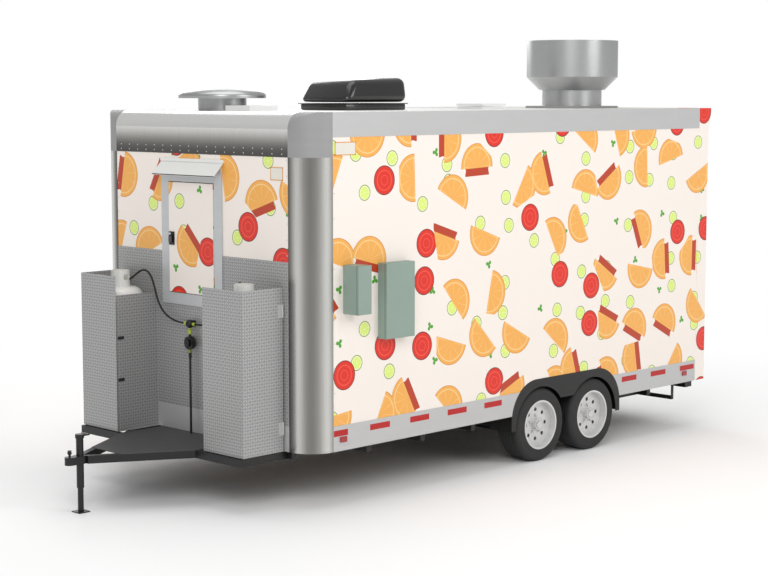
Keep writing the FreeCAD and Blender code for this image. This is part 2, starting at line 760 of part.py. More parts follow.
def serving_hatch():
    return block((f"{SERVE_FRONT} - serve_lap", LEAF_Y, "serve_low - serve_lap"),
                 (f"{SERVE_REAR} + serve_lap", f"{LEAF_Y} + leaf_thick", "serve_high + serve_lap"))


def serving_shelf():
    middle = f"{LEAF_Y} + leaf_thick / 2"
    top = f"{SHELF_PIN_Z} - hinge_out"
    return block((SERVE_FRONT, f"{middle} - shelf_thick / 2", f"{top} - shelf_width"),
                 (SERVE_REAR, f"{middle} + shelf_thick / 2", top))


# ---------------------------------------------------------------- rear door
def rear_door():
    leaf = block((f"{TAIL} + 4 - door_thick", "-door_half + swing_gap", "door_low + swing_gap"),
                 (f"{TAIL} + 4", "door_half - swing_gap", "door_high - swing_gap"))
    window = block((f"{TAIL} - door_thick - 10", "-window_half", "window_low"),
                   (f"{TAIL} + 20", "window_half", "window_high"))
    return cut(leaf, window)


def rear_window():
    return block((f"{TAIL} + 4 - door_thick / 2 - glass_thick / 2", "-window_half", "window_low"),
                 (f"{TAIL} + 4 - door_thick / 2 + glass_thick / 2", "window_half", "window_high"))


def rear_handle():
    plate = block((f"{TAIL} + 4", "-door_half + 45", "1130"), (f"{TAIL} + 10", "-door_half + 95", "1290"))
    grip = rod((f"{TAIL} + 32", "-door_half + 70", "1145"), "z", "8", "130")
    lower = rod((f"{TAIL} + 10", "-door_half + 70", "1155"), "x", "6", "24")
    upper = rod((f"{TAIL} + 10", "-door_half + 70", "1265"), "x", "6", "24")
    return fuse(plate, grip, lower, upper)


def tail_lamp():
    return block((TAIL, f"-half_width + 20", "skirt_high + 60"),
                 (f"{TAIL} + lamp_depth", "-half_width + 20 + lamp_width", "skirt_high + 60 + lamp_height"))


# ---------------------------------------------------------------- running gear
def fender():
    """The twin-arch fender box of the street side: face, round top, ends and inner wall."""
    shell = fender_outline("0", "-half_width", f"-({WELL_IN})")
    hollow = fender_outline("fender_sheet", "-half_width + fender_sheet", f"-({WELL_IN}) - fender_sheet")
    below = block((f"{FENDER_FRONT} + fender_sheet", "-half_width + fender_sheet", "fender_low - 20"),
                  (f"{FENDER_REAR} - fender_sheet", f"-({WELL_IN}) + 20", FLOOR_LOW))
    arches = [rod((middle, "-half_width - 10", "tyre_radius"), "y", "tyre_radius + fender_gap",
                  "fender_sheet + 20") for middle in AXLES.values()]
    saddle = block((AXLES["front"], "-half_width - 10", "fender_low - 20"),
                   (AXLES["rear"], "-half_width + fender_sheet + 10", "fender_dip"))
    return cut(shell, hollow, below, saddle, *arches)


def axle(end):
    """A torsion axle: cross tube under the rails, trailing arms and wheel spindles."""
    middle = AXLES[end]
    tube_x = f"{middle} - arm_reach"
    tube_z = "tube_low - tube_height - axle_radius"
    tube = rod((tube_x, f"-({TYRE_IN}) + 90", tube_z), "y", "axle_radius", f"2 * ({TYRE_IN}) - 180")
    arm = block((f"{tube_x} - axle_radius", f"-({TYRE_IN}) + 60", f"{tube_z} - axle_radius"),
                (f"{middle} + axle_radius", f"-({TYRE_IN}) + 60 + arm_thick + 10", f"{tube_z} + axle_radius"))
    spindle = rod((middle, f"-({TYRE_OUT}) + disc_inset", "tyre_radius"), "y", "spindle_radius",
                  "tyre_width - disc_inset + 60 + arm_thick")
    return fuse(tube, arm, mirror(arm), spindle, mirror(spindle))


WHEELS = {
    "front_left": ("front", "-"), "front_right": ("front", ""),
    "rear_left": ("rear", "-"), "rear_right": ("rear", ""),
}


def stand_wheel(thing, wheel):
    """A wheel is made on its own axis, outer face at zero facing -Y, then stood in place."""
    end, side = WHEELS[wheel]
    turn = 0 if side else 180
    thing.Placement = FreeCAD.Placement(FreeCAD.Vector(), FreeCAD.Rotation(FreeCAD.Vector(0, 0, 1), turn))
    return place(thing, AXLES[end], f"{side}({TYRE_OUT})", "tyre_radius")


def tyre(wheel):
    """A plain tyre: round-shouldered, stepped at the beads for the rim's flanges."""
    body = doc.addObject("PartDesign::Body", "tyre_body")

    def turned(kind, radius, start, length):
        feature = body.newObject(f"PartDesign::{kind}Cylinder", "turned")
        feature.Placement = FreeCAD.Placement(
            FreeCAD.Vector(), FreeCAD.Rotation(FreeCAD.Vector(1, 0, 0), -90))
        bind(feature, Radius=radius, Height=length, Placement__Base__y=start)
        return feature

    carcass = turned("Additive", "tyre_radius", "0", "tyre_width")
    doc.recompute()
    rims = [f"Edge{number}" for number, edge in enumerate(carcass.Shape.Edges, start=1)
            if isinstance(edge.Curve, Part.Circle)]
    shoulders = body.newObject("PartDesign::Fillet", "shoulders")
    shoulders.Base = (carcass, rims)
    bind(shoulders, Radius="tyre_round")
    turned("Subtractive", "bead_radius", "-10", "tyre_width + 20")
    turned("Subtractive", "flange_radius", "-10", "10 + flange_thick")
    body.Tip = turned("Subtractive", "flange_radius", "tyre_width - flange_thick", "10 + flange_thick")
    return stand_wheel(body, wheel)


def rim(wheel):
    """A pressed wheel: barrel with two flanges, dished disc with hand holes, hub with its bore."""
    body = doc.addObject("PartDesign::Body", "rim_body")

    def turned(kind, radius, start, length, off="0"):
        feature = body.newObject(f"PartDesign::{kind}Cylinder", "turned")
        feature.Placement = FreeCAD.Placement(
            FreeCAD.Vector(), FreeCAD.Rotation(FreeCAD.Vector(1, 0, 0), -90))
        bind(feature, Radius=radius, Height=length, Placement__Base__y=start, Placement__Base__z=off)
        return feature

    def ring(feature, times):
        pattern = body.newObject("PartDesign::PolarPattern", "ring")
        pattern.Originals = [feature]
        axis = [item for item in body.Origin.OriginFeatures if item.Role == "Y_Axis"][0]
        pattern.Axis = (axis, [""])
        pattern.Angle = 360
        pattern.Occurrences = times
        body.Tip = pattern
        doc.recompute()

    turned("Additive", "bead_radius", "0", "tyre_width")
    turned("Additive", "flange_radius", "0", "flange_thick")
    turned("Additive", "flange_radius", "tyre_width - flange_thick", "flange_thick")
    turned("Subtractive", "bead_radius - rim_sheet", "-10", "disc_inset + 10")
    turned("Subtractive", "bead_radius - rim_sheet", "disc_inset + rim_sheet", "tyre_width")
    turned("Additive", "hub_radius", "disc_inset - 40", "110")
    turned("Subtractive", "spindle_radius + spindle_play", "disc_inset - 2", "tyre_width")
    doc.recompute()
    ring(turned("Subtractive", "window_radius", "disc_inset - 10", "30", "window_circle"), 8)
    ring(turned("Additive", "9", "disc_inset - 14", "16", "hub_radius + bolt_circle - 22"), 5)
    return stand_wheel(body, wheel)


# ---------------------------------------------------------------- street side boxes
def wall_box(start, length, depth, low, high):
    body = block((f"nose + {start}", f"-half_width - {depth} + skin", low),
                 (f"nose + {start} + {length}", f"-({WALL_OUT})", high))
    front = size(f"0 - half_width - {depth} + skin")
    return rounded(body, "box_round", lambda way, mid, straight: mid.y < front + 20)


# ---------------------------------------------------------------- roof
def air_conditioner():
    """A low rooftop unit: base pan and a shroud with soft edges."""
    pan = block(("nose + cooler_start - 52", "-cooler_half + 30", ROOF_HIGH),
                ("nose + cooler_start + cooler_length - 20", "cooler_half - 30", f"{ROOF_HIGH} + cooler_base"))
    shroud = block(("nose + cooler_start", "-cooler_half", f"{ROOF_HIGH} + 8"),
                   ("nose + cooler_start + cooler_length", "cooler_half", f"{ROOF_HIGH} + cooler_height"))
    top = size(f"{ROOF_HIGH} + cooler_height")
    soft = rounded(shroud, "cooler_round",
                   lambda way, mid, straight: mid.z > top - 10 and mid.x < size("nose + cooler_start") + 600)
    return fuse(pan, soft)


def exhaust_fan():
    """An upblast fan: neck, flared windband open at the top, and the motor cover inside."""
    centre = ("nose + fan_x", "fan_y")
    curb = block(("nose + fan_x - fan_neck - 30", "fan_y - fan_neck - 30", ROOF_HIGH),
                 ("nose + fan_x + fan_neck + 30", "fan_y + fan_neck + 30", f"{ROOF_HIGH} + 22"))
    neck = rod((*centre, ROOF_HIGH), "z", "fan_neck", f"fan_neck_top - ({ROOF_HIGH})")
    flare = cone((*centre, "fan_neck_top"), "fan_throat", "fan_radius", "fan_shoulder - fan_neck_top")
    band = rod((*centre, "fan_shoulder"), "z", "fan_radius", "fan_top - fan_shoulder")
    flare_in = cone((*centre, "fan_neck_top + fan_sheet"), "fan_throat - fan_sheet", "fan_radius - fan_sheet",
                    "fan_shoulder - fan_neck_top - fan_sheet")
    band_in = rod((*centre, "fan_shoulder"), "z", "fan_radius - fan_sheet", "fan_top - fan_shoulder + 10")
    motor = rod((*centre, "fan_neck_top"), "z", "fan_neck - 70", "fan_top - fan_neck_top - 110")
    return fuse(cut(fuse(curb, neck, flare, band), flare_in, band_in), motor)


def mushroom_vent():
    centre = ("nose + mushroom_x", "mushroom_y")
    stem = rod((*centre, ROOF_HIGH), "z", "mushroom_stem", f"mushroom_low - ({ROOF_HIGH}) + 10")
    lip = rod((*centre, "mushroom_low"), "z", "mushroom_radius", "mushroom_lip")
    dome = doc.addObject("Part::Ellipsoid", "dome")
    bind(dome, Radius1="mushroom_rise", Radius2="mushroom_radius", Radius3="mushroom_radius")
    dome.Angle1 = 0
    place(dome, *centre, "mushroom_low + mushroom_lip")
    return fuse(stem, lip, dome)


def vent_curb():
    """The main roof vent's curb, and the plain low cap near the front."""
    ring = block(("nose + vent_x - vent_half", "vent_y - vent_half", ROOF_HIGH),
                 ("nose + vent_x + vent_half", "vent_y + vent_half", f"{ROOF_HIGH} + vent_curb"))
    hole = block(("nose + vent_x - vent_half + 12", "vent_y - vent_half + 12", f"{ROOF_HIGH} + 4"),
                 ("nose + vent_x + vent_half - 12", "vent_y + vent_half - 12", f"{ROOF_HIGH} + vent_curb + 10"))
    cap = block(("nose + cap_x - vent_half", "cap_y - vent_half", ROOF_HIGH),
                ("nose + cap_x + vent_half", "cap_y + vent_half", f"{ROOF_HIGH} + vent_curb + vent_lid"))
    return together(cut(ring, hole), cap)


def vent_lid():
    return block(("nose + vent_x - vent_half - 6", "vent_y - vent_half - 6", f"{ROOF_HIGH} + vent_curb + 5"),
                 ("nose + vent_x + vent_half + 6", "vent_y + vent_half + 6",
                  f"{ROOF_HIGH} + vent_curb + 5 + vent_lid"))


# ---------------------------------------------------------------- rear underside
def rear_bumper():
    return block((f"{TAIL} - tube_width - 60", "-bumper_half", "bumper_low"),
                 (f"{TAIL} - 60", "bumper_half", FLOOR_LOW))


def corner_stay():
    """The low guard bar under a rear corner, hung from the cross tube by a strap."""
    along = block(("nose + stay_front", "-stay_inner - stay_bar", "stay_low"),
                  ("nose + stay_rear", "-stay_inner", "stay_low + stay_bar"))
    across = block(("nose + stay_rear - stay_bar", "-stay_outer", "stay_low"),
                   ("nose + stay_rear", "-stay_inner", "stay_low + stay_bar"))
    strap = block(("nose + stay_rear - stay_bar", "-stay_outer", "stay_low"),
                  ("nose + stay_rear", "-stay_outer + 8", FLOOR_LOW))
    hanger = block(("nose + stay_front", "-stay_inner - stay_bar", "stay_low"),
                   ("nose + stay_front + stay_bar", "-stay_inner", FLOOR_LOW))
    return fuse(along, across, strap, hanger)


# ---------------------------------------------------------------- the list of sub-parts
part("left_wall", side_wall())
part("right_wall", serving_wall())
part("front_wall", front_wall())
part("rear_wall", rear_wall())
part("roof", roof())
part("floor", floor())
part("roof_cap", roof_cap())
both("corner_castings", corner_casting())
both("corner_posts", corner_column("skirt_low", "post_top", "corner_radius", "corner_radius - wall"))
both("top_rails", top_rail())
part("skirts", skirts())
part("rear_frame", rear_frame())
part("stone_guard", stone_guard())

both("main_rails", main_rails())
part("cross_tubes", cross_tubes())
one_rail = tongue_rail()
both("tongue_rails", one_rail)
part("bay_frame", bay_frame(one_rail))
part("tongue_deck", tongue_deck())
part("coupler", coupler())
part("jack_tube", jack_tube())
part("jack_leg", jack_leg())

both("tank_bays", bay_shell())
street_door = bay_door()
part("left_bay_door", street_door)
part("right_bay_door", mirror(street_door))
both("gas_tanks", gas_tank())
part("gas_regulator", gas_regulator())
part("left_gas_hose", hose("left_gas_hose", LEFT_HOSE))
part("right_gas_hose", hose("right_gas_hose", RIGHT_HOSE))

part("hatch_frame", hatch_frame())
part("hatch_door", hatch_door())
part("hatch_latch", hatch_latch())
part("hatch_canopy", hatch_canopy())

part("serving_frame", serving_frame())
part("hinge_rails", together(hinge_rail(SERVE_PIN_Z, "hatch_hinge"), hinge_rail(SHELF_PIN_Z, "shelf_hinge")))
part("serving_hatch", serving_hatch())
part("serving_shelf", serving_shelf())
part("rear_door", rear_door())
part("rear_window", rear_window())
part("rear_handle", rear_handle())
both("tail_lamps", tail_lamp())

both("fenders", fender())
for end in AXLES:
    part(f"{end}_axle", axle(end))
for wheel in WHEELS:
    part(f"tyre_{wheel}", tyre(wheel))
    part(f"rim_{wheel}", rim(wheel))

part("inlet_box", wall_box("inlet_start", "inlet_length", "inlet_depth", "inlet_low", "inlet_high"))
part("breaker_box", wall_box("breaker_start", "breaker_length", "breaker_depth", "breaker_low", "breaker_high"))
part("air_conditioner", air_conditioner())
part("exhaust_fan", exhaust_fan())
part("mushroom_vent", mushroom_vent())
part("vent_curb", vent_curb())
part("vent_lid", vent_lid())
part("rear_bumper", rear_bumper())
both("corner_stays", corner_stay())

# ---------------------------------------------------------------- check and write
doc.recompute()
faults = [thing.Name for thing in doc.Objects if {"Invalid", "Error"} & set(thing.State)]
for label, thing in PARTS.items():
    if thing.Shape.isNull() or not thing.Shape.isValid() or not thing.Shape.Solids:
        faults.append(label)
if faults:
    raise RuntimeError("these did not build: " + ", ".join(faults))

os.makedirs("parts", exist_ok=True)
for label, thing in PARTS.items():
    thing.Shape.exportStep(f"parts/{label}.step")
    box = thing.Shape.BoundBox
    print(f"{label}: {len(thing.Shape.Solids)} solids, x {box.XMin:.0f}..{box.XMax:.0f}, "
          f"y {box.YMin:.0f}..{box.YMax:.0f}, z {box.ZMin:.0f}..{box.ZMax:.0f}")
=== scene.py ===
import bpy
import math
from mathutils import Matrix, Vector


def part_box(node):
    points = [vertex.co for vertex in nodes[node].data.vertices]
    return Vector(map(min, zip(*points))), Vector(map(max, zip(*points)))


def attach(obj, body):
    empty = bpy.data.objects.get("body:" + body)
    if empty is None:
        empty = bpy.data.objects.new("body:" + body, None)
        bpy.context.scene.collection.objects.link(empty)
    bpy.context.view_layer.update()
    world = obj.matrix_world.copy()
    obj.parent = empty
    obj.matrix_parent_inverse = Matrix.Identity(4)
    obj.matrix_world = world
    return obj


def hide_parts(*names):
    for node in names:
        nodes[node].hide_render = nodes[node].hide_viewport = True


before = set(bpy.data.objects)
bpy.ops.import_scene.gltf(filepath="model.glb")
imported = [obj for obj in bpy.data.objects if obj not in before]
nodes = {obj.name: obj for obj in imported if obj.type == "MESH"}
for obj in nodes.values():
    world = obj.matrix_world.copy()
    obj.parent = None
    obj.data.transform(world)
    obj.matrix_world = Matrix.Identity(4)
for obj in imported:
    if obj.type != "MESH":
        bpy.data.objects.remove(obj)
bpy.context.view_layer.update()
bpy.ops.object.select_all(action="DESELECT")

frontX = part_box("stone_guard")[0][0]      # outer face of the front wall
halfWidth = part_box("top_rails")[1][1]
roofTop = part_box("top_rails")[1][2]

# camera
cameraSet = {"place": (-7.698, -10.834, 3.164), "tilt": 83.662, "turn": -45.36, "lens": 82.5}
bpy.ops.object.camera_add(location=cameraSet["place"],
                          rotation=(math.radians(cameraSet["tilt"]), 0, math.radians(cameraSet["turn"])))
camera = bpy.context.object
camera.data.lens = cameraSet["lens"]
camera.data.sensor_width = 36
camera.data.clip_end = 200
bpy.context.scene.camera = camera
print("camera placed")


# making materials
def linear(hexColour):
    # sRGB hex to the linear colour that shaders take
    channels = [int(hexColour[i:i + 2], 16) / 255 for i in (1, 3, 5)]
    return [c / 12.92 if c <= 0.04045 else ((c + 0.055) / 1.055) ** 2.4 for c in channels] + [1]


def addNode(tree, kind, links=None, **settings):
    # adds a node; links maps an input's name or number to a value or to another node's output
    node = tree.nodes.new(kind)
    for key, value in settings.items():
        setattr(node, key, value)
    for key, value in (links or {}).items():
        if isinstance(value, bpy.types.NodeSocket):
            tree.links.new(value, node.inputs[key])
        else:
            node.inputs[key].default_value = value
    return node


def newMaterial(name, colour, metallic=0.0, roughness=0.5, **sockets):
    # a named material with a Principled shader; returns material, tree, shader and object coordinates
    material = bpy.data.materials.new(name)
    material.use_nodes = True
    tree = material.node_tree
    tree.nodes.clear()
    shader = addNode(tree, "ShaderNodeBsdfPrincipled",
                     {"Base Color": linear(colour), "Metallic": metallic, "Roughness": roughness, **sockets})
    addNode(tree, "ShaderNodeOutputMaterial", {"Surface": shader.outputs[0]})
    where = addNode(tree, "ShaderNodeTexCoord").outputs["Object"]
    return material, tree, shader, where


def mottle(tree, shader, where, colours, patchMm, roughness, bumpMm=0.0, grainMm=2.0, stretch=(1, 1, 1)):
    # slow colour drift and fine grain: every worn or rolled surface has some of both
    spread = addNode(tree, "ShaderNodeMapping", {"Vector": where, "Scale": stretch}).outputs[0]
    slow = addNode(tree, "ShaderNodeTexNoise", {"Vector": spread, "Scale": 1000 / patchMm, "Detail": 4})
    fine = addNode(tree, "ShaderNodeTexNoise", {"Vector": spread, "Scale": 1000 / grainMm, "Detail": 2})
    tint = addNode(tree, "ShaderNodeMix", {"Factor": slow.outputs["Fac"], 6: linear(colours[0]),
                                           7: linear(colours[1])}, data_type="RGBA")
    tree.links.new(tint.outputs[2], shader.inputs["Base Color"])
    rough = addNode(tree, "ShaderNodeMapRange", {0: fine.outputs["Fac"], 1: 0.3, 2: 0.7,
                                                 3: roughness[0], 4: roughness[1]})
    tree.links.new(rough.outputs[0], shader.inputs["Roughness"])
    if bumpMm:
        bump = addNode(tree, "ShaderNodeBump", {"Height": fine.outputs["Fac"], "Distance": bumpMm / 1000,
                                                "Strength": 0.6})
        tree.links.new(bump.outputs[0], shader.inputs["Normal"])
    return tint, slow, fine


# the wrap: printed film on flat panels
wrapSet = {
    "ground": "#F4EBE3", "orange": "#F2AE52", "orangeDark": "#D98F34", "pith": "#F8CF8C", "brick": "#B93A16",
    "red": "#DE2410", "redLight": "#EE4A35", "rim": "#7A2312", "lime": "#D9EE6E", "limeRim": "#7E9A3A",
    "leaf": "#4FA22A",
    "bigPitch": 0.43, "smallPitch": 0.34, "slice": 0.19, "round": 0.115, "limeRound": 0.062,
    "leafLength": 0.036,
}


def wrapMaterial(name, shiftX=0.0):
    # printed film: satin, faint orange peel, fruit slices, rounds and leaves scattered over cream
    material, tree, shader, where = newMaterial(name, wrapSet["ground"], 0.0, 0.34)
    at = addNode(tree, "ShaderNodeSeparateXYZ", {0: where})
    normal = addNode(tree, "ShaderNodeSeparateXYZ", {0: addNode(tree,
                                                                "ShaderNodeTexCoord").outputs["Normal"]})
    facing = addNode(tree, "ShaderNodeMath", {0: addNode(tree, "ShaderNodeMath", {0: normal.outputs[0]},
                     operation="ABSOLUTE").outputs[0], 1: 0.5}, operation="GREATER_THAN").outputs[0]
    shifted = addNode(tree, "ShaderNodeMath", {0: at.outputs[1], 1: 7.3 + shiftX}, operation="ADD").outputs[0]
    across = addNode(tree, "ShaderNodeMix", {0: facing, 2: at.outputs[0], 3: shifted}).outputs[0]
    plane = addNode(tree, "ShaderNodeCombineXYZ", {0: across, 1: at.outputs[2]}).outputs[0]

    def maths(operation, a, b=0.0, c=0.0):
        links = {0: a, 1: b, 2: c} if operation in ("MULTIPLY_ADD", "COMPARE") else {0: a, 1: b}
        return addNode(tree, "ShaderNodeMath", links, operation=operation).outputs[0]

    def printOver(under, colour, mask):
        return addNode(tree, "ShaderNodeMix", {"Factor": mask, 6: under, 7: linear(colour)},
                       data_type="RGBA").outputs[2]

    def scatter(pitch, offset):
        # one motif's own polar coordinates in every cell, turned at random
        moved = addNode(tree, "ShaderNodeVectorMath", {0: plane, 1: (offset, offset * 0.7, 0)}).outputs[0]
        cell = addNode(tree, "ShaderNodeTexVoronoi",
                       {"Vector": moved, "Scale": 1 / pitch, "Randomness": 0.62},
                       voronoi_dimensions="2D")
        local = addNode(tree, "ShaderNodeVectorMath", {0: moved, 1: cell.outputs["Position"]},
                        operation="SUBTRACT").outputs[0]
        chance = addNode(tree, "ShaderNodeSeparateColor", {0: cell.outputs["Color"]})
        turned = addNode(tree, "ShaderNodeVectorRotate",
                         {0: local, "Angle": maths("MULTIPLY", chance.outputs[1], 6.28)},
                         rotation_type="Z_AXIS").outputs[0]
        part = addNode(tree, "ShaderNodeSeparateXYZ", {0: turned})
        far = addNode(tree, "ShaderNodeVectorMath", {0: turned}, operation="LENGTH").outputs["Value"]
        bearing = maths("ARCTAN2", part.outputs[1], part.outputs[0])
        return chance.outputs[0], part.outputs[0], part.outputs[1], far, bearing

    def segments(bearing, count, width):
        # thin lines between the segments of a slice
        wave = maths("ABSOLUTE", maths("SINE", maths("MULTIPLY", bearing, count / 2)))
        return maths("LESS_THAN", wave, width)

    def between(value, low, high):
        return maths("MULTIPLY", maths("GREATER_THAN", value, low), maths("LESS_THAN", value, high))

    colour = addNode(tree, "ShaderNodeRGB").outputs[0]
    colour.default_value = linear(wrapSet["ground"])
    # small motifs lie under the large ones
    pick, x, y, far, bearing = scatter(wrapSet["smallPitch"], 3.1)
    limeSize = wrapSet["limeRound"]
    isLime = maths("LESS_THAN", pick, 0.46)
    disc = maths("MULTIPLY", maths("LESS_THAN", far, limeSize), isLime)
    colour = printOver(colour, wrapSet["limeRim"], disc)
    colour = printOver(colour, "#F0F6C8", maths("MULTIPLY", maths("LESS_THAN", far, limeSize * 0.88), isLime))
    colour = printOver(colour, wrapSet["lime"], maths("MULTIPLY",
                                                      between(far, limeSize * 0.1, limeSize * 0.76), isLime))
    colour = printOver(colour, "#F0F6C8", maths("MULTIPLY", maths("MULTIPLY", segments(bearing, 8, 0.2),
                                                                  isLime),
                                            maths("LESS_THAN", far, limeSize * 0.76)))
    isLeaf = maths("GREATER_THAN", pick, 0.62)
    lobes = maths("MULTIPLY_ADD", maths("ABSOLUTE", maths("COSINE", maths("MULTIPLY", bearing, 1.5))),
                  wrapSet["leafLength"] * 0.75, wrapSet["leafLength"] * 0.25)
    colour = printOver(colour, wrapSet["leaf"], maths("MULTIPLY", maths("LESS_THAN", far, lobes), isLeaf))
    # large motifs
    pick, x, y, far, bearing = scatter(wrapSet["bigPitch"], 0.4)
    slice_, round_ = wrapSet["slice"], wrapSet["round"]
    isSlice = maths("LESS_THAN", pick, 0.66)
    isCapped = maths("LESS_THAN", pick, 0.30)
    wavy = maths("MULTIPLY_ADD", maths("SINE", maths("MULTIPLY", bearing, 9)), 0.012, slice_ * 0.80)
    back = maths("MULTIPLY", between(y, -0.075, 0.03), maths("LESS_THAN", far, wavy))
    colour = printOver(colour, wrapSet["brick"], maths("MULTIPLY", back, isCapped))
    half = maths("MULTIPLY", maths("GREATER_THAN", y, -0.012), isSlice)
    colour = printOver(colour, wrapSet["orangeDark"], maths("MULTIPLY", half, maths("LESS_THAN", far,
                                                                                    slice_)))
    colour = printOver(colour, wrapSet["orange"], maths("MULTIPLY", half,
                                                        maths("LESS_THAN", far, slice_ * 0.965)))
    colour = printOver(colour, wrapSet["pith"], maths("MULTIPLY", half,
                                                      between(far, slice_ * 0.80, slice_ * 0.85)))
    spokes = maths("MULTIPLY", segments(bearing, 10, 0.07), between(far, slice_ * 0.12, slice_ * 0.8))
    colour = printOver(colour, wrapSet["pith"], maths("MULTIPLY", half, spokes))
    isRound = maths("GREATER_THAN", pick, 0.72)
    colour = printOver(colour, wrapSet["rim"], maths("MULTIPLY", maths("LESS_THAN", far, round_), isRound))
    colour = printOver(colour, wrapSet["red"], maths("MULTIPLY", maths("LESS_THAN", far, round_ * 0.93),
                                                     isRound))
    colour = printOver(colour, wrapSet["redLight"], maths("MULTIPLY",
                                                          between(far, round_ * 0.62, round_ * 0.72),
                                                          isRound))
    colour = printOver(colour, wrapSet["redLight"], maths("MULTIPLY",
                                                          between(far, round_ * 0.30, round_ * 0.36),
                                                          isRound))
    upward = maths("GREATER_THAN", maths("ABSOLUTE", normal.outputs[2]), 0.7)
    colour = printOver(colour, wrapSet["ground"], upward)
    tree.links.new(colour, shader.inputs["Base Color"])
    ripple = addNode(tree, "ShaderNodeTexNoise", {"Vector": where, "Scale": 1000 / 35, "Detail": 1})
    bump = addNode(tree, "ShaderNodeBump", {"Height": ripple.outputs["Fac"], "Distance": 0.0006,
                                            "Strength": 0.25})
    tree.links.new(bump.outputs[0], shader.inputs["Normal"])
    return material


# metals, paints, rubber and plastic
def tyreRubber():
    # black rubber with four grooves round the tread
    material, tree, shader, where = newMaterial("tyreRubber", "#262626", 0.0, 0.75)
    tint, slow, fine = mottle(tree, shader, where, ("#242424", "#2E2E2E"), 90, (0.68, 0.82))
    at = addNode(tree, "ShaderNodeSeparateXYZ", {0: where})
    beside = addNode(tree, "ShaderNodeMath", {0: at.outputs[1]}, operation="ABSOLUTE").outputs[0]
    lane = addNode(tree, "ShaderNodeMath", {0: addNode(tree, "ShaderNodeMath", {0: beside, 1: 1000 / 34},
                   operation="MULTIPLY").outputs[0]}, operation="FRACT").outputs[0]
    groove = addNode(tree, "ShaderNodeMath", {0: lane, 1: 0.24}, operation="LESS_THAN").outputs[0]
    inside = addNode(tree, "ShaderNodeMath", {0: beside, 1: 1.095}, operation="GREATER_THAN").outputs[0]
    outside = addNode(tree, "ShaderNodeMath", {0: beside, 1: 1.258}, operation="LESS_THAN").outputs[0]
    tread = addNode(tree, "ShaderNodeMath", {0: inside, 1: outside}, operation="MULTIPLY").outputs[0]
    cutDown = addNode(tree, "ShaderNodeMath", {0: groove, 1: tread}, operation="MULTIPLY").outputs[0]
    # painted shade: the tread grooves are coloured near black
    grooveShadeColour = addNode(tree, "ShaderNodeMix", {"Factor": cutDown, 6: tint.outputs[2], 7: linear("#0C0C0C")},
                   data_type="RGBA")
    tree.links.new(grooveShadeColour.outputs[2], shader.inputs["Base Color"])
    bump = addNode(tree, "ShaderNodeBump", {"Height": cutDown, "Distance": 0.006, "Strength": 0.8},
                   invert=True)
    tree.links.new(bump.outputs[0], shader.inputs["Normal"])
    return material


def sheetMetal(name, colours, roughness=(0.34, 0.46), metallic=0.35):
    # mill-finish aluminium sheet: dull, with faint rolling lines
    material, tree, shader, where = newMaterial(name, colours[0], metallic)
    mottle(tree, shader, where, colours, 420, roughness, 0.05, 5, (1, 1, 6))
    return material


def treadPlate():
    # checker plate: short raised bars 17 mm apart, each at a right angle to its neighbours
    material, tree, shader, where = newMaterial("treadPlateAluminium", "#9A9A9A", 0.25, 0.42)
    at = addNode(tree, "ShaderNodeSeparateXYZ", {0: where})

    def maths(operation, a, b=0.0):
        return addNode(tree, "ShaderNodeMath", {0: a, 1: b}, operation=operation).outputs[0]

    across = maths("MULTIPLY", maths("ADD", at.outputs[0], at.outputs[1]), 1000 / 24)
    up = maths("MULTIPLY", at.outputs[2], 1000 / 24)
    a = maths("SUBTRACT", maths("FRACT", across), 0.5)
    b = maths("SUBTRACT", maths("FRACT", up), 0.5)
    odd = maths("GREATER_THAN", maths("PINGPONG", maths("ADD", maths("FLOOR", across),
                                                        maths("FLOOR", up)), 1.0), 0.5)
    rising = maths("MULTIPLY", maths("ADD", a, b), 0.707)
    falling = maths("MULTIPLY", maths("SUBTRACT", a, b), 0.707)
    along = addNode(tree, "ShaderNodeMix", {0: odd, 2: rising, 3: falling}).outputs[0]
    over = addNode(tree, "ShaderNodeMix", {0: odd, 2: falling, 3: rising}).outputs[0]
    reach = maths("SQRT", maths("ADD", maths("POWER", maths("ABSOLUTE", along), 2.0),
                                maths("POWER", maths("MULTIPLY", maths("ABSOLUTE", over), 3.0), 2.0)))
    height = addNode(tree, "ShaderNodeMapRange", {0: reach, 1: 0.50, 2: 0.32}).outputs[0]
    # painted highlight: the raised bars are coloured lighter than the sheet, by their height
    tint = addNode(tree, "ShaderNodeMix", {"Factor": height, 6: linear("#989898"), 7: linear("#C8C8C8")},
                   data_type="RGBA")
    tree.links.new(tint.outputs[2], shader.inputs["Base Color"])
    bump = addNode(tree, "ShaderNodeBump", {"Height": height, "Distance": 0.0015, "Strength": 0.5})
    tree.links.new(bump.outputs[0], shader.inputs["Normal"])
    return material


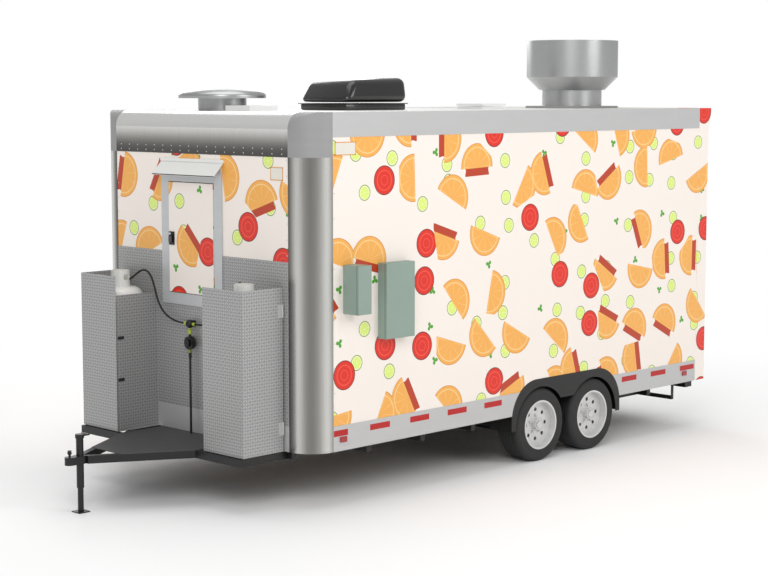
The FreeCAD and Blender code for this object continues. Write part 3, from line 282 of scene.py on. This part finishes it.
def metalWithPaintedReflections(name, axis, centre, bands):
    # bright-dipped aluminium, near mirror: the bands of light and dark along its bend are painted
    # reflections, laid into the base colour
    material, tree, shader, where = newMaterial(name, "#B4B4B0", 0.75, 0.24)
    at = addNode(tree, "ShaderNodeSeparateXYZ", {0: where})
    first = addNode(tree, "ShaderNodeMath", {0: at.outputs[0], 1: centre[0]}, operation="SUBTRACT").outputs[0]
    if axis == "post":
        sideways = addNode(tree, "ShaderNodeMath", {0: at.outputs[1]}, operation="ABSOLUTE").outputs[0]
        second = addNode(tree, "ShaderNodeMath", {0: sideways, 1: centre[1]}, operation="SUBTRACT").outputs[0]
    else:
        second = addNode(tree, "ShaderNodeMath", {0: at.outputs[2], 1: centre[1]},
                         operation="SUBTRACT").outputs[0]
    away = addNode(tree, "ShaderNodeMath", {0: first, 1: -1.0}, operation="MULTIPLY").outputs[0]
    bend = addNode(tree, "ShaderNodeMath", {0: second, 1: away}, operation="ARCTAN2").outputs[0]
    share = addNode(tree, "ShaderNodeMapRange", {0: bend, 1: 0.0, 2: math.pi / 2}).outputs[0]
    if axis == "cap":
        share = addNode(tree, "ShaderNodeMapRange", {0: at.outputs[2], 1: roofTop - 0.338,
                                                     2: roofTop}).outputs[0]
    # painted reflections: the band colours go straight into the base colour
    paintedReflectionRamp = addNode(tree, "ShaderNodeValToRGB", {0: share})
    paintedReflectionRamp.color_ramp.interpolation = "B_SPLINE"
    while len(paintedReflectionRamp.color_ramp.elements) < len(bands):
        paintedReflectionRamp.color_ramp.elements.new(0.5)
    for element, (position, colour) in zip(paintedReflectionRamp.color_ramp.elements, bands):
        element.position = position
        element.color = linear(colour)
    streak = addNode(tree, "ShaderNodeTexNoise", {"Vector": addNode(tree, "ShaderNodeMapping", {
        "Vector": where, "Scale": (40, 40, 1)}).outputs[0], "Scale": 3, "Detail": 3})
    tint = addNode(tree, "ShaderNodeMix", {0: 0.12, 6: paintedReflectionRamp.outputs[0], 7: streak.outputs["Fac"]},
                   data_type="RGBA", blend_type="OVERLAY")
    tree.links.new(tint.outputs[2], shader.inputs["Base Color"])
    return material


def paint(name, colours, roughness, patchMm=300, bumpMm=0.03, metallic=0.0, coat=0.0):
    # sprayed enamel or powder coat: even colour, slight orange peel
    material, tree, shader, where = newMaterial(name, colours[0], metallic, roughness[0],
                                                **{"Coat Weight": coat})
    mottle(tree, shader, where, colours, patchMm, roughness, bumpMm, 4)
    return material


def glassPane():
    material, tree, shader, where = newMaterial("floatGlass", "#8FA0A4", 0.0, 0.06,
                                                **{"Transmission Weight": 0.85, "IOR": 1.5})
    return material


def brushed(name, colours, stretch):
    # brushed stainless: fine lines one way, soft wide highlights
    material, tree, shader, where = newMaterial(name, colours[0], 0.85, 0.3)
    mottle(tree, shader, where, colours, 60, (0.24, 0.38), 0.03, 1.5, stretch)
    return material


# painted reflections for the corner posts and the roof cap: light and dark bands that stand in for what the
# metal reflects
postPaintedReflections = [(0.0, "#4B4A48"), (0.10, "#8A8885"), (0.22, "#D9D9D6"), (0.36, "#8E8C88"), (0.52, "#6E6C68"),
             (0.70, "#9B9995"), (0.86, "#E0E0DC"), (1.0, "#7A7876")]
capPaintedReflections = [(0.0, "#4E4C4A"), (0.20, "#5E5C5A"), (0.38, "#9B9995"), (0.55, "#D6D5D2"), (0.75, "#F2F2F0"),
            (1.0, "#E4E4E2")]
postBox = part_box("corner_posts")
postCentre = (postBox[1][0], postBox[1][1] - (postBox[1][0] - postBox[0][0]))
capRadius = 0.130

finishes = {
    "wrap": wrapMaterial("printedWrapFilm"),
    "white": paint("whiteGelcoat", ("#EDEDEA", "#E4E4E0"), (0.3, 0.42)),
    "floor": paint("sealedPlywood", ("#6A5238", "#5A452F"), (0.6, 0.75), 80, 0.2),
    "post": metalWithPaintedReflections("polishedPost", "post", postCentre, postPaintedReflections),
    "cap": metalWithPaintedReflections("polishedCap", "cap", (frontX + capRadius, roofTop - capRadius), capPaintedReflections),
    "casting": sheetMetal("castAluminium", ("#9E9E9E", "#949494"), (0.5, 0.62), 0.2),
    "rail": sheetMetal("railAluminium", ("#C6C6C6", "#BFBFBF")),
    "frame": sheetMetal("extrudedAluminium", ("#CBCDCF", "#BEC0C2")),
    "tread": treadPlate(),
    "black": paint("blackPowderCoat", ("#0C0C0C", "#141414"), (0.32, 0.5)),
    "deck": paint("blackTreadDeck", ("#4D4D4D", "#454545"), (0.5, 0.66), 120, 0.3),
    "tank": paint("whiteTankEnamel", ("#F2F2EF", "#E9E9E5"), (0.22, 0.32), coat=0.4),
    "rubber": paint("hoseRubber", ("#161616", "#1E1E1E"), (0.55, 0.7)),
    "tyre": tyreRubber(),
    "wheel": paint("silverWheelPaint", ("#D9D9D9", "#CFCFCF"), (0.3, 0.42), metallic=0.35),
    "box": paint("greyGreenEnamel", ("#8FA298", "#87998F"), (0.42, 0.55)),
    "shroud": paint("blackAbsShroud", ("#121212", "#1B1B1B"), (0.16, 0.28), coat=0.5),
    "vent": paint("whiteAbsVent", ("#E9E9E9", "#DDDDDD"), (0.35, 0.5)),
    "steel": brushed("brushedStainless", ("#B9BABA", "#A6A7A7"), (1, 1, 14)),
    "chrome": newMaterial("chromedSteel", "#D4D4D4", 1.0, 0.14)[0],
    "lamp": newMaterial("redLampLens", "#A00808", 0.0, 0.15, **{"Coat Weight": 0.6})[0],
    "tape": paint("reflectiveTape", ("#BE0000", "#AE0202"), (0.25, 0.35), 12, 0.05),
    "brassy": paint("yellowGreenFitting", ("#B9C93A", "#A4B52E"), (0.35, 0.45)),
    "glass": glassPane(),
    "screw": newMaterial("zincScrew", "#C4C4C4", 0.3, 0.4)[0],
    "seam": paint("darkSeam", ("#1E2020", "#262828"), (0.5, 0.65)),
    "plate": paint("blankPlate", ("#E9E6DC", "#DEDACF"), (0.3, 0.4)),
    "plateOrange": paint("plateBand", ("#E39B3C", "#D58C2F"), (0.3, 0.4)),
}
nodeFinish = {
    "wrap": "left_wall right_wall front_wall rear_frame hatch_door serving_hatch",
    "white": "rear_wall roof rear_door hatch_canopy", "floor": "floor", "post": "corner_posts",
    "cap": "roof_cap",
    "casting": "corner_castings", "rail": "top_rails skirts hinge_rails",
    "frame": "hatch_frame serving_frame",
    "tread": "stone_guard tank_bays left_bay_door right_bay_door",
    "black": "main_rails cross_tubes tongue_rails bay_frame coupler jack_tube jack_leg fenders front_axle "
             "rear_axle rear_bumper corner_stays hatch_latch gas_regulator",
    "deck": "tongue_deck", "tank": "gas_tanks", "rubber": "left_gas_hose right_gas_hose",
    "tyre": " ".join(k for k in nodes if k.startswith("tyre_")),
    "wheel": " ".join(k for k in nodes if k.startswith("rim_")), "box": "inlet_box breaker_box",
    "shroud": "air_conditioner", "vent": "vent_curb vent_lid",
    "steel": "exhaust_fan serving_shelf mushroom_vent",
    "chrome": "rear_handle", "lamp": "tail_lamps", "glass": "rear_window",
}
for finish, names in nodeFinish.items():
    for name in names.split():
        if name not in nodes:
            continue
        part = nodes[name]
        part.data.materials.clear()
        part.data.materials.append(finishes[finish])
print("finishes on the frame's parts")

# studio
floorSet = {"size": 400, "fadeFrom": 3.5, "fadeTo": 8.0}
bpy.ops.mesh.primitive_plane_add(size=floorSet["size"], location=(2, 0, 0))
studioFloor = bpy.context.object
studioFloor.name = "studioFloor"
material = bpy.data.materials.new("paleStudioFloor")
material.use_nodes = True
tree = material.node_tree
tree.nodes.clear()
diffuse = addNode(tree, "ShaderNodeBsdfDiffuse", {0: linear("#FDFDFD")})
glow = addNode(tree, "ShaderNodeEmission", {0: (1, 1, 1, 1), 1: 1.0})
spot = addNode(tree, "ShaderNodeVectorMath", {0: addNode(tree, "ShaderNodeTexCoord").outputs["Object"],
                                              1: (1.0, 0.0, 0.0)}, operation="SUBTRACT").outputs[0]
reach = addNode(tree, "ShaderNodeVectorMath", {0: spot}, operation="LENGTH").outputs["Value"]
fade = addNode(tree, "ShaderNodeMapRange", {0: reach, 1: floorSet["fadeFrom"], 2: floorSet["fadeTo"]},
               interpolation_type="SMOOTHSTEP").outputs[0]
faded = addNode(tree, "ShaderNodeMixShader", {0: fade, 1: diffuse.outputs[0], 2: glow.outputs[0]})
addNode(tree, "ShaderNodeOutputMaterial", {0: faded.outputs[0]})
studioFloor.data.materials.append(material)
world = bpy.data.worlds.new("studioWorld")
bpy.context.scene.world = world
world.use_nodes = True
tree = world.node_tree
tree.nodes.clear()
rays = addNode(tree, "ShaderNodeLightPath")
seen = addNode(tree, "ShaderNodeMath", {0: rays.outputs["Is Camera Ray"],
                                        1: rays.outputs["Is Transmission Ray"]},
               operation="MAXIMUM").outputs[0]
soft = addNode(tree, "ShaderNodeBackground", {0: (1, 1, 1, 1), 1: 0.5})
white = addNode(tree, "ShaderNodeBackground", {0: (1, 1, 1, 1), 1: 1.0})
mixed = addNode(tree, "ShaderNodeMixShader", {0: seen, 1: soft.outputs[0], 2: white.outputs[0]})
addNode(tree, "ShaderNodeOutputWorld", {0: mixed.outputs[0]})
lampSet = {
    "key": ((-7, -9, 9), 560, 6.0), "side": ((6, -12, 7), 380, 6.0),
    "top": ((2.5, 0, 11), 330, 8.0), "back": ((8, 9, 7), 420, 7.0),
}
for lampName, (place, power, lampSize) in lampSet.items():
    bpy.ops.object.light_add(type="AREA", location=place)
    lamp = bpy.context.object
    lamp.name = lampName + "Light"
    lamp.data.energy = power
    lamp.data.size = lampSize
    lamp.rotation_euler = (Vector((3.0, 0, 1.4)) - Vector(place)).to_track_quat("-Z", "Y").to_euler()
bpy.context.scene.view_settings.view_transform = "Standard"
print("studio ready")


# modelling helpers
def finished(piece, name, material, body):
    # names a piece, bakes its place into its mesh and hangs it on a body
    bpy.ops.object.select_all(action="DESELECT")
    piece.select_set(True)
    bpy.context.view_layer.objects.active = piece
    bpy.ops.object.transform_apply(location=True, rotation=True, scale=True)
    piece.name = name
    piece.data.name = name
    if material:
        piece.data.materials.clear()
        piece.data.materials.append(material)
    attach(piece, body)
    return piece


def applied(piece, kind, **settings):
    modifier = piece.modifiers.new(kind.lower(), kind)
    for key, value in settings.items():
        setattr(modifier, key, value)
    bpy.context.view_layer.objects.active = piece
    bpy.ops.object.modifier_apply(modifier=modifier.name)
    return piece


def brick(low, high, bevel=0.0, steps=2):
    # a box between two corners with softened edges
    bpy.ops.object.select_all(action="DESELECT")
    middle = [(a + b) / 2 for a, b in zip(low, high)]
    bpy.ops.mesh.primitive_cube_add(size=1, location=middle)
    piece = bpy.context.object
    piece.scale = [b - a for a, b in zip(low, high)]
    bpy.ops.object.transform_apply(location=True, rotation=True, scale=True)
    if bevel:
        applied(piece, "BEVEL", width=bevel, segments=steps, limit_method="ANGLE")
    return piece


def drum(middle, radius, depth, along="z", sides=32, bevel=0.0):
    # a short cylinder with softened rims
    bpy.ops.object.select_all(action="DESELECT")
    turn = {"x": (0, math.pi / 2, 0), "y": (math.pi / 2, 0, 0), "z": (0, 0, 0)}[along]
    bpy.ops.mesh.primitive_cylinder_add(vertices=sides, radius=radius, depth=depth, location=middle,
                                        rotation=turn)
    piece = bpy.context.object
    bpy.ops.object.transform_apply(location=True, rotation=True, scale=True)
    if bevel:
        applied(piece, "BEVEL", width=bevel, segments=2, limit_method="ANGLE")
    return piece


def joined(pieces):
    bpy.ops.object.select_all(action="DESELECT")
    for piece in pieces:
        piece.select_set(True)
    bpy.context.view_layer.objects.active = pieces[0]
    bpy.ops.object.join()
    return bpy.context.object


def dots(name, places, out, radius, material, body):
    # one low dome copied to many places, as rivets and screws are
    bpy.ops.object.select_all(action="DESELECT")
    bpy.ops.mesh.primitive_uv_sphere_add(segments=8, ring_count=4, radius=radius, location=(0, 0, 0))
    seed = bpy.context.object
    heads = []
    for place in places:
        head = seed.copy()
        head.data = seed.data.copy()
        bpy.context.collection.objects.link(head)
        head.location = place
        head.scale = [0.45 if abs(axis) > 0.5 else 1 for axis in out]
        heads.append(head)
    bpy.data.objects.remove(seed)
    return finished(joined(heads), name, material, body)


# gas hoses
hoseSet = {"diameter": 0.016, "lengthLeft": 0.979, "lengthRight": 0.895}
rightRoute = [
    (-178, 751, 1628), (-159, 725, 1637), (-142, 697, 1655), (-127, 666, 1681), (-113, 634, 1709),
    (-101, 599, 1728), (-91, 562, 1727), (-83, 528, 1702), (-76, 502, 1655), (-69, 483, 1590),
    (-64, 464, 1520), (-60, 437, 1457), (-56, 395, 1404), (-52, 337, 1365), (-49, 272, 1342),
    (-47, 205, 1331), (-46, 160, 1328), (-46, 126, 1328),
]
leftRoute = [
    (-178, -751, 1628), (-158, -724, 1650), (-140, -694, 1676), (-124, -662, 1702), (-110, -630, 1716),
    (-98, -596, 1706), (-88, -566, 1668), (-80, -538, 1612), (-74, -510, 1550), (-69, -474, 1490),
    (-64, -428, 1438), (-59, -374, 1396), (-55, -312, 1366), (-51, -246, 1348), (-48, -180, 1338),
    (-46, -116, 1332), (-46, -54, 1329), (-46, 6, 1328),
]


def gasHose(name, route, node):
    # a rubber pigtail that hangs from the tank valve to the changeover valve
    points = [(frontX + x / 1000, y / 1000, z / 1000) for x, y, z in route]
    line = bpy.data.curves.new(name, "CURVE")
    line.dimensions = "3D"
    spline = line.splines.new("NURBS")
    spline.points.add(len(points) - 1)
    for point, place in zip(spline.points, points):
        point.co = (*place, 1)
    spline.order_u = 3
    spline.use_endpoint_u = True
    spline.resolution_u = 8
    line.bevel_depth = hoseSet["diameter"] / 2
    line.bevel_resolution = 4
    line.materials.append(finishes["rubber"])
    piece = bpy.data.objects.new(name, line)
    bpy.context.collection.objects.link(piece)
    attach(piece, "trailer")
    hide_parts(node)


gasHose("leftHose", leftRoute, "left_gas_hose")
gasHose("rightHose", rightRoute, "right_gas_hose")
print("hoses hung")

# skirt tape, markers and screws
tapeSet = {
    "low": 0.555, "high": 0.602, "thick": 0.0006,
    "spans": ((1.419, 1.568), (1.808, 2.028), (2.258, 2.478), (2.698, 2.928), (3.148, 3.368),
              (5.028, 5.248), (5.468, 5.698), (5.928, 6.153)),
    "markers": ((1.483, 1.552), (5.964, 6.029)), "markerLow": 0.505, "markerHigh": 0.548,
}
for side, word in ((-1, "Left"), (1, "Right")):
    face = side * halfWidth
    strips = []
    for start, end in tapeSet["spans"]:
        edges = sorted((face, face + side * tapeSet["thick"]))
        strips.append(brick((start, edges[0], tapeSet["low"]), (end, edges[1], tapeSet["high"])))
    finished(joined(strips), "reflectiveTape" + word, finishes["tape"], "trailer")
    lenses = []
    for start, end in tapeSet["markers"]:
        edges = sorted((face, face + side * 0.012))
        lenses.append(brick((start, edges[0], tapeSet["markerLow"]),
                            (end, edges[1], tapeSet["markerHigh"]), 0.004))
    finished(joined(lenses), "markerLamps" + word, finishes["lamp"], "trailer")
    screws = [(1.45 + 0.45 * i, face, z) for i in range(11) for z in (0.522, 0.462)
              if not 3.46 < 1.45 + 0.45 * i < 5.04]
    dots("skirtScrews" + word, screws, (0, 1, 0), 0.0055, finishes["screw"], "trailer")
    rail = [(1.45 + 0.152 * i, face, roofTop - 0.165) for i in range(31)]
    dots("railRivets" + word, rail, (0, 1, 0), 0.0045, finishes["screw"], "trailer")
print("tape, markers and screws")

# rivets round the nose
capRivets = [(frontX, -0.99 + 0.11 * i, z) for i in range(19) for z in (2.704, 2.742)]
dots("capRivets", capRivets, (1, 0, 0), 0.0055, finishes["screw"], "trailer")
guardRivets = [(frontX, y, 0.72 + 0.19 * i) for i in range(7) for y in (-1.03, 1.03)]
guardRivets += [(frontX, -0.95 + 0.2 * i, 1.872) for i in range(10) if not -0.32 < -0.95 + 0.2 * i < 0.48]
dots("guardRivets", guardRivets, (1, 0, 0), 0.005, finishes["screw"], "trailer")
postRivets = [(1.431, side * 1.2925, 0.70 + 0.19 * i) for i in range(11)
              for side in (-1, 1)]
dots("sideRivets", postRivets, (0, 1, 0), 0.0055, finishes["screw"], "trailer")
wallRivets = [(1.1805, side * 1.040, 1.94 + 0.12 * i) for i in range(7) for side in (-1, 1)]
dots("frontRivets", wallRivets, (1, 0, 0), 0.0055, finishes["screw"], "trailer")
print("rivets")

# rooftop cooler
coolerLow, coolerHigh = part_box("air_conditioner")
coolerSet = {"foot": 0.055, "corner": 0.060, "seam": 0.012}
base = brick((coolerLow[0] + 0.02, coolerLow[1] + 0.02, coolerLow[2]),
             (coolerHigh[0] - 0.02, coolerHigh[1] - 0.02, coolerLow[2] + coolerSet["foot"]), 0.01)
shroud = brick((coolerLow[0], coolerLow[1], coolerLow[2] + coolerSet["foot"] + coolerSet["seam"]),
               (coolerHigh[0], coolerHigh[1], coolerHigh[2]))
for vertex in shroud.data.vertices:
    # nose slopes back and the top falls away to both sides
    if vertex.co.z > coolerHigh[2] - 0.01 and vertex.co.x < coolerLow[0] + 0.1:
        vertex.co.x += 0.11
        vertex.co.z -= 0.02
    if vertex.co.z > coolerHigh[2] - 0.05:
        vertex.co.y *= 0.90
applied(shroud, "BEVEL", width=coolerSet["corner"], segments=6, limit_method="ANGLE",
        angle_limit=math.radians(20))
lip = brick((coolerLow[0] + 0.004, coolerLow[1] + 0.004, coolerLow[2] + coolerSet["foot"] - 0.004),
            (coolerHigh[0] - 0.004, coolerHigh[1] - 0.004, coolerLow[2] + coolerSet["foot"] + 0.004), 0.003)
louvres = [brick((coolerHigh[0] - 0.012, coolerLow[1] + 0.11, coolerLow[2] + 0.105 + 0.024 * i),
                 (coolerHigh[0] - 0.001, coolerHigh[1] - 0.11, coolerLow[2] + 0.115 + 0.024 * i), 0.002)
           for i in range(5)]
cooler = joined([shroud, base, lip] + louvres)
bpy.ops.object.shade_smooth_by_angle(angle=math.radians(40))
finished(cooler, "coolerShroud", finishes["shroud"], "trailer")
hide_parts("air_conditioner")
print("cooler")

# electrical boxes
for node, hinge in (("breaker_box", 1), ("inlet_box", -1)):
    low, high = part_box(node)
    word = node.split("_")[0]
    seam = brick((low[0] - 0.0006, low[1] + 0.019, low[2] - 0.0006),
                 (high[0] + 0.0006, low[1] + 0.022, high[2] + 0.0006))
    finished(seam, word + "Seam", finishes["seam"], "trailer")
    lockX = low[0] + 0.03 if hinge > 0 else high[0] - 0.03
    lock = joined([drum((lockX, low[1] + 0.0016, (low[2] + high[2]) / 2), 0.011, 0.003, "y", 24, 0.0008),
                   brick((high[0] - 0.001, low[1] + 0.030, low[2] + 0.05),
                         (high[0] + 0.006, low[1] + 0.052, low[2] + 0.11), 0.001),
                   brick((high[0] - 0.001, low[1] + 0.030, high[2] - 0.11),
                         (high[0] + 0.006, low[1] + 0.052, high[2] - 0.05), 0.001)])
    finished(lock, word + "Lock", finishes["screw"], "trailer")
print("electrical boxes")

# gas fittings and tank valves
gasSet = {"x": 1.132, "y": 0.066, "changeover": 1.328, "dish": 1.175, "cuff": 0.0135}
cuffs = [drum((gasSet["x"], gasSet["y"], 1.262), gasSet["cuff"], 0.034, "z", 6, 0.001),
         drum((gasSet["x"], gasSet["y"], 1.288), gasSet["cuff"] * 0.85, 0.012, "z", 24, 0.001),
         drum((gasSet["x"], gasSet["y"], 1.108), gasSet["cuff"], 0.026, "z", 6, 0.001),
         drum((gasSet["x"], 0.118, gasSet["changeover"]), gasSet["cuff"], 0.024, "y", 6, 0.001),
         drum((gasSet["x"], 0.014, gasSet["changeover"]), gasSet["cuff"], 0.024, "y", 6, 0.001)]
finished(joined(cuffs), "gasNuts", finishes["brassy"], "trailer")
dial = joined([drum((gasSet["x"] - 0.034, gasSet["y"], gasSet["dish"]), 0.030, 0.008, "x", 32, 0.002),
               drum((gasSet["x"] - 0.036, gasSet["y"], gasSet["dish"]), 0.010, 0.010, "x", 20, 0.002)])
finished(dial, "regulatorCap", finishes["black"], "trailer")
for side, word in ((-1, "Left"), (1, "Right")):
    centre = (0.983, side * 0.772)
    wheel = joined([drum((centre[0], centre[1], 1.700), 0.026, 0.012, "z", 12, 0.003),
                    drum((centre[0], centre[1], 1.670), 0.011, 0.060, "z", 20, 0.001)])
    finished(wheel, "tankValve" + word, finishes["brassy"], "trailer")
print("gas fittings")

# tank bay doors
for side, word, body in ((-1, "Left", "left_door"), (1, "Right", "right_door")):
    low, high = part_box(("left" if side < 0 else "right") + "_bay_door")
    outer = low[1] if side < 0 else high[1]
    for z in (0.62, 1.52):
        # two leaves of a butt hinge on the outer panel by the wall
        edges = sorted((outer, outer + side * 0.003))
        leaf = brick((1.118, edges[0], z - 0.05), (1.162, edges[1], z + 0.05), 0.001)
        pin = drum((1.164, outer + side * 0.003, z), 0.006, 0.10, "z", 16, 0.001)
        finished(joined([leaf, pin]), f"bayHinge{word}{'Low' if z < 1 else 'High'}", finishes["rail"],
                 body)
for side, word in ((-1, "Left"), (1, "Right")):
    inner = side * 0.543
    for z, level in ((1.20, "High"), (0.86, "Low")):
        edges = sorted((inner - side * 0.007, inner))
        bar = brick((0.775, edges[0], z - 0.013), (0.835, edges[1], z + 0.013), 0.003)
        finished(bar, f"bayLatch{word}{level}", finishes["seam"], "trailer")
print("bay hardware")

# hatch hardware
low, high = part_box("hatch_latch")
paddle = brick((low[0] - 0.004, low[1] + 0.012, low[2] + 0.022),
               (low[0] + 0.004, high[1] - 0.012, high[2] - 0.034), 0.003)
finished(paddle, "hatchPaddle", finishes["shroud"], "hatch")
barrel = drum((low[0] - 0.001, (low[1] + high[1]) / 2, high[2] - 0.016), 0.009, 0.006, "x", 24, 0.001)
finished(barrel, "hatchKey", finishes["chrome"], "hatch")
low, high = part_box("hatch_frame")
frameScrews = [(low[0] + 0.0005, y, low[2] + 0.06 + 0.16 * i) for i in range(7) for y in (low[1] + 0.03,
                                                                                          high[1] - 0.03)]
dots("hatchScrews", frameScrews, (1, 0, 0), 0.0045, finishes["screw"], "trailer")
low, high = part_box("hatch_canopy")
edge = brick((low[0] + 0.001, low[1] + 0.004, low[2] + 0.0005),
             (low[0] + 0.010, high[1] - 0.004, low[2] + 0.010), 0.002)
finished(edge, "canopyTrim", finishes["seam"], "trailer")
print("hatch hardware")

# blank plates
def blankPlate(name, low, high, out):
    # a maker's plate with nothing on it: pale sheet in a thin raised border
    axis = 0 if out == "x" else 1
    sheet = brick(low, high, 0.0008)
    finished(sheet, name, finishes["plate"], "trailer")
    rims = []
    flat = 1 - axis
    for side in (0, 1):
        lowA, highA = list(low), list(high)
        if side:
            lowA[2] = high[2] - 0.006
        else:
            highA[2] = low[2] + 0.006
        for corner in (lowA, highA):
            corner[axis] -= 0.0008
        rims.append(brick(lowA, highA))
        lowB, highB = list(low), list(high)
        if side:
            lowB[flat] = high[flat] - 0.006
        else:
            highB[flat] = low[flat] + 0.006
        for corner in (lowB, highB):
            corner[axis] -= 0.0008
        rims.append(brick(lowB, highB))
    finished(joined(rims), name + "Border", finishes["plateOrange"], "trailer")


blankPlate("makerPlateFront", (1.1793, -1.00, 2.505), (1.1812, -0.86, 2.605), "x")
blankPlate("makerPlateSide", (1.440, -1.2938, 2.695), (1.660, -1.2918, 2.795), "y")
plate = brick((6.3215, -1.05, 0.98), (6.3245, -0.75, 1.13), 0.001)
finished(plate, "numberPlate", finishes["plate"], "trailer")
bracket = brick((6.3195, -1.06, 0.97), (6.3215, -0.74, 1.14), 0.001)
finished(bracket, "numberPlateBack", finishes["black"], "trailer")

# roof fan and rear lights
low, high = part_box("exhaust_fan")
fanCentre = ((low[0] + high[0]) / 2, (low[1] + high[1]) / 2)
fanRadius = (high[0] - low[0]) / 2
bands = []
for z, reach in ((high[2] - 0.008, -0.0005), (low[2] + 0.5, -0.002)):
    bpy.ops.object.select_all(action="DESELECT")
    bpy.ops.mesh.primitive_torus_add(location=(*fanCentre, z), major_radius=fanRadius + reach - 0.006,
                                     minor_radius=0.007, major_segments=72, minor_segments=10)
    bands.append(bpy.context.object)
finished(joined(bands), "fanBeads", finishes["steel"], "trailer")
for side, word in ((-1, "Left"), (1, "Right")):
    lens = joined([drum((6.3345, side * 1.220, 0.812), 0.034, 0.006, "x", 32, 0.002),
                   brick((6.3325, side * 1.220 - 0.040, 0.706), (6.337, side * 1.220 + 0.040, 0.756), 0.002)])
    finished(lens, "tailLens" + word, finishes["lamp"], "trailer")
clearance = [brick((6.369, y - 0.035, 2.90), (6.3700, y + 0.035, 2.93), 0.0004) for y in (-0.25, 0, 0.25)]
finished(joined(clearance), "clearanceLights", finishes["lamp"], "trailer")
print("plates, fan and lights")

# wheels
wheelSet = {"disc": 1.228, "hub": 1.268, "bolts": 5, "nut": 0.0105, "boltCircle": 0.0705}
for node in [name for name in nodes if name.startswith("rim_")]:
    low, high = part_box(node)
    centre = Vector(((low[0] + high[0]) / 2, 0, (low[2] + high[2]) / 2))
    side = -1 if low[1] < 0 else 1
    end, hand = node.split("_")[1:]
    body = f"wheel_{end}_{hand}"
    name = end.title() + hand.title()
    nuts = []
    for i in range(wheelSet["bolts"]):
        turn = 2 * math.pi * i / wheelSet["bolts"]
        radius = wheelSet["boltCircle"]
        place = (centre.x + radius * math.sin(turn), side * (wheelSet["disc"] + 0.012),
                 centre.z + radius * math.cos(turn))
        nuts.append(drum(place, wheelSet["nut"], 0.018, "y", 6, 0.0015))
    finished(joined(nuts), "lugNuts" + name, finishes["chrome"], body)
    cap = drum((centre.x, side * (wheelSet["hub"] + 0.004), centre.z), 0.034, 0.010, "y", 40, 0.004)
    finished(cap, "hubCap" + name, finishes["chrome"], body)
print("wheels")

# coupler
plunger = drum((-0.094, 0, 0.4845), 0.016, 0.006, "z", 20, 0.002)
finished(plunger, "couplerKnob", finishes["shroud"], "trailer")
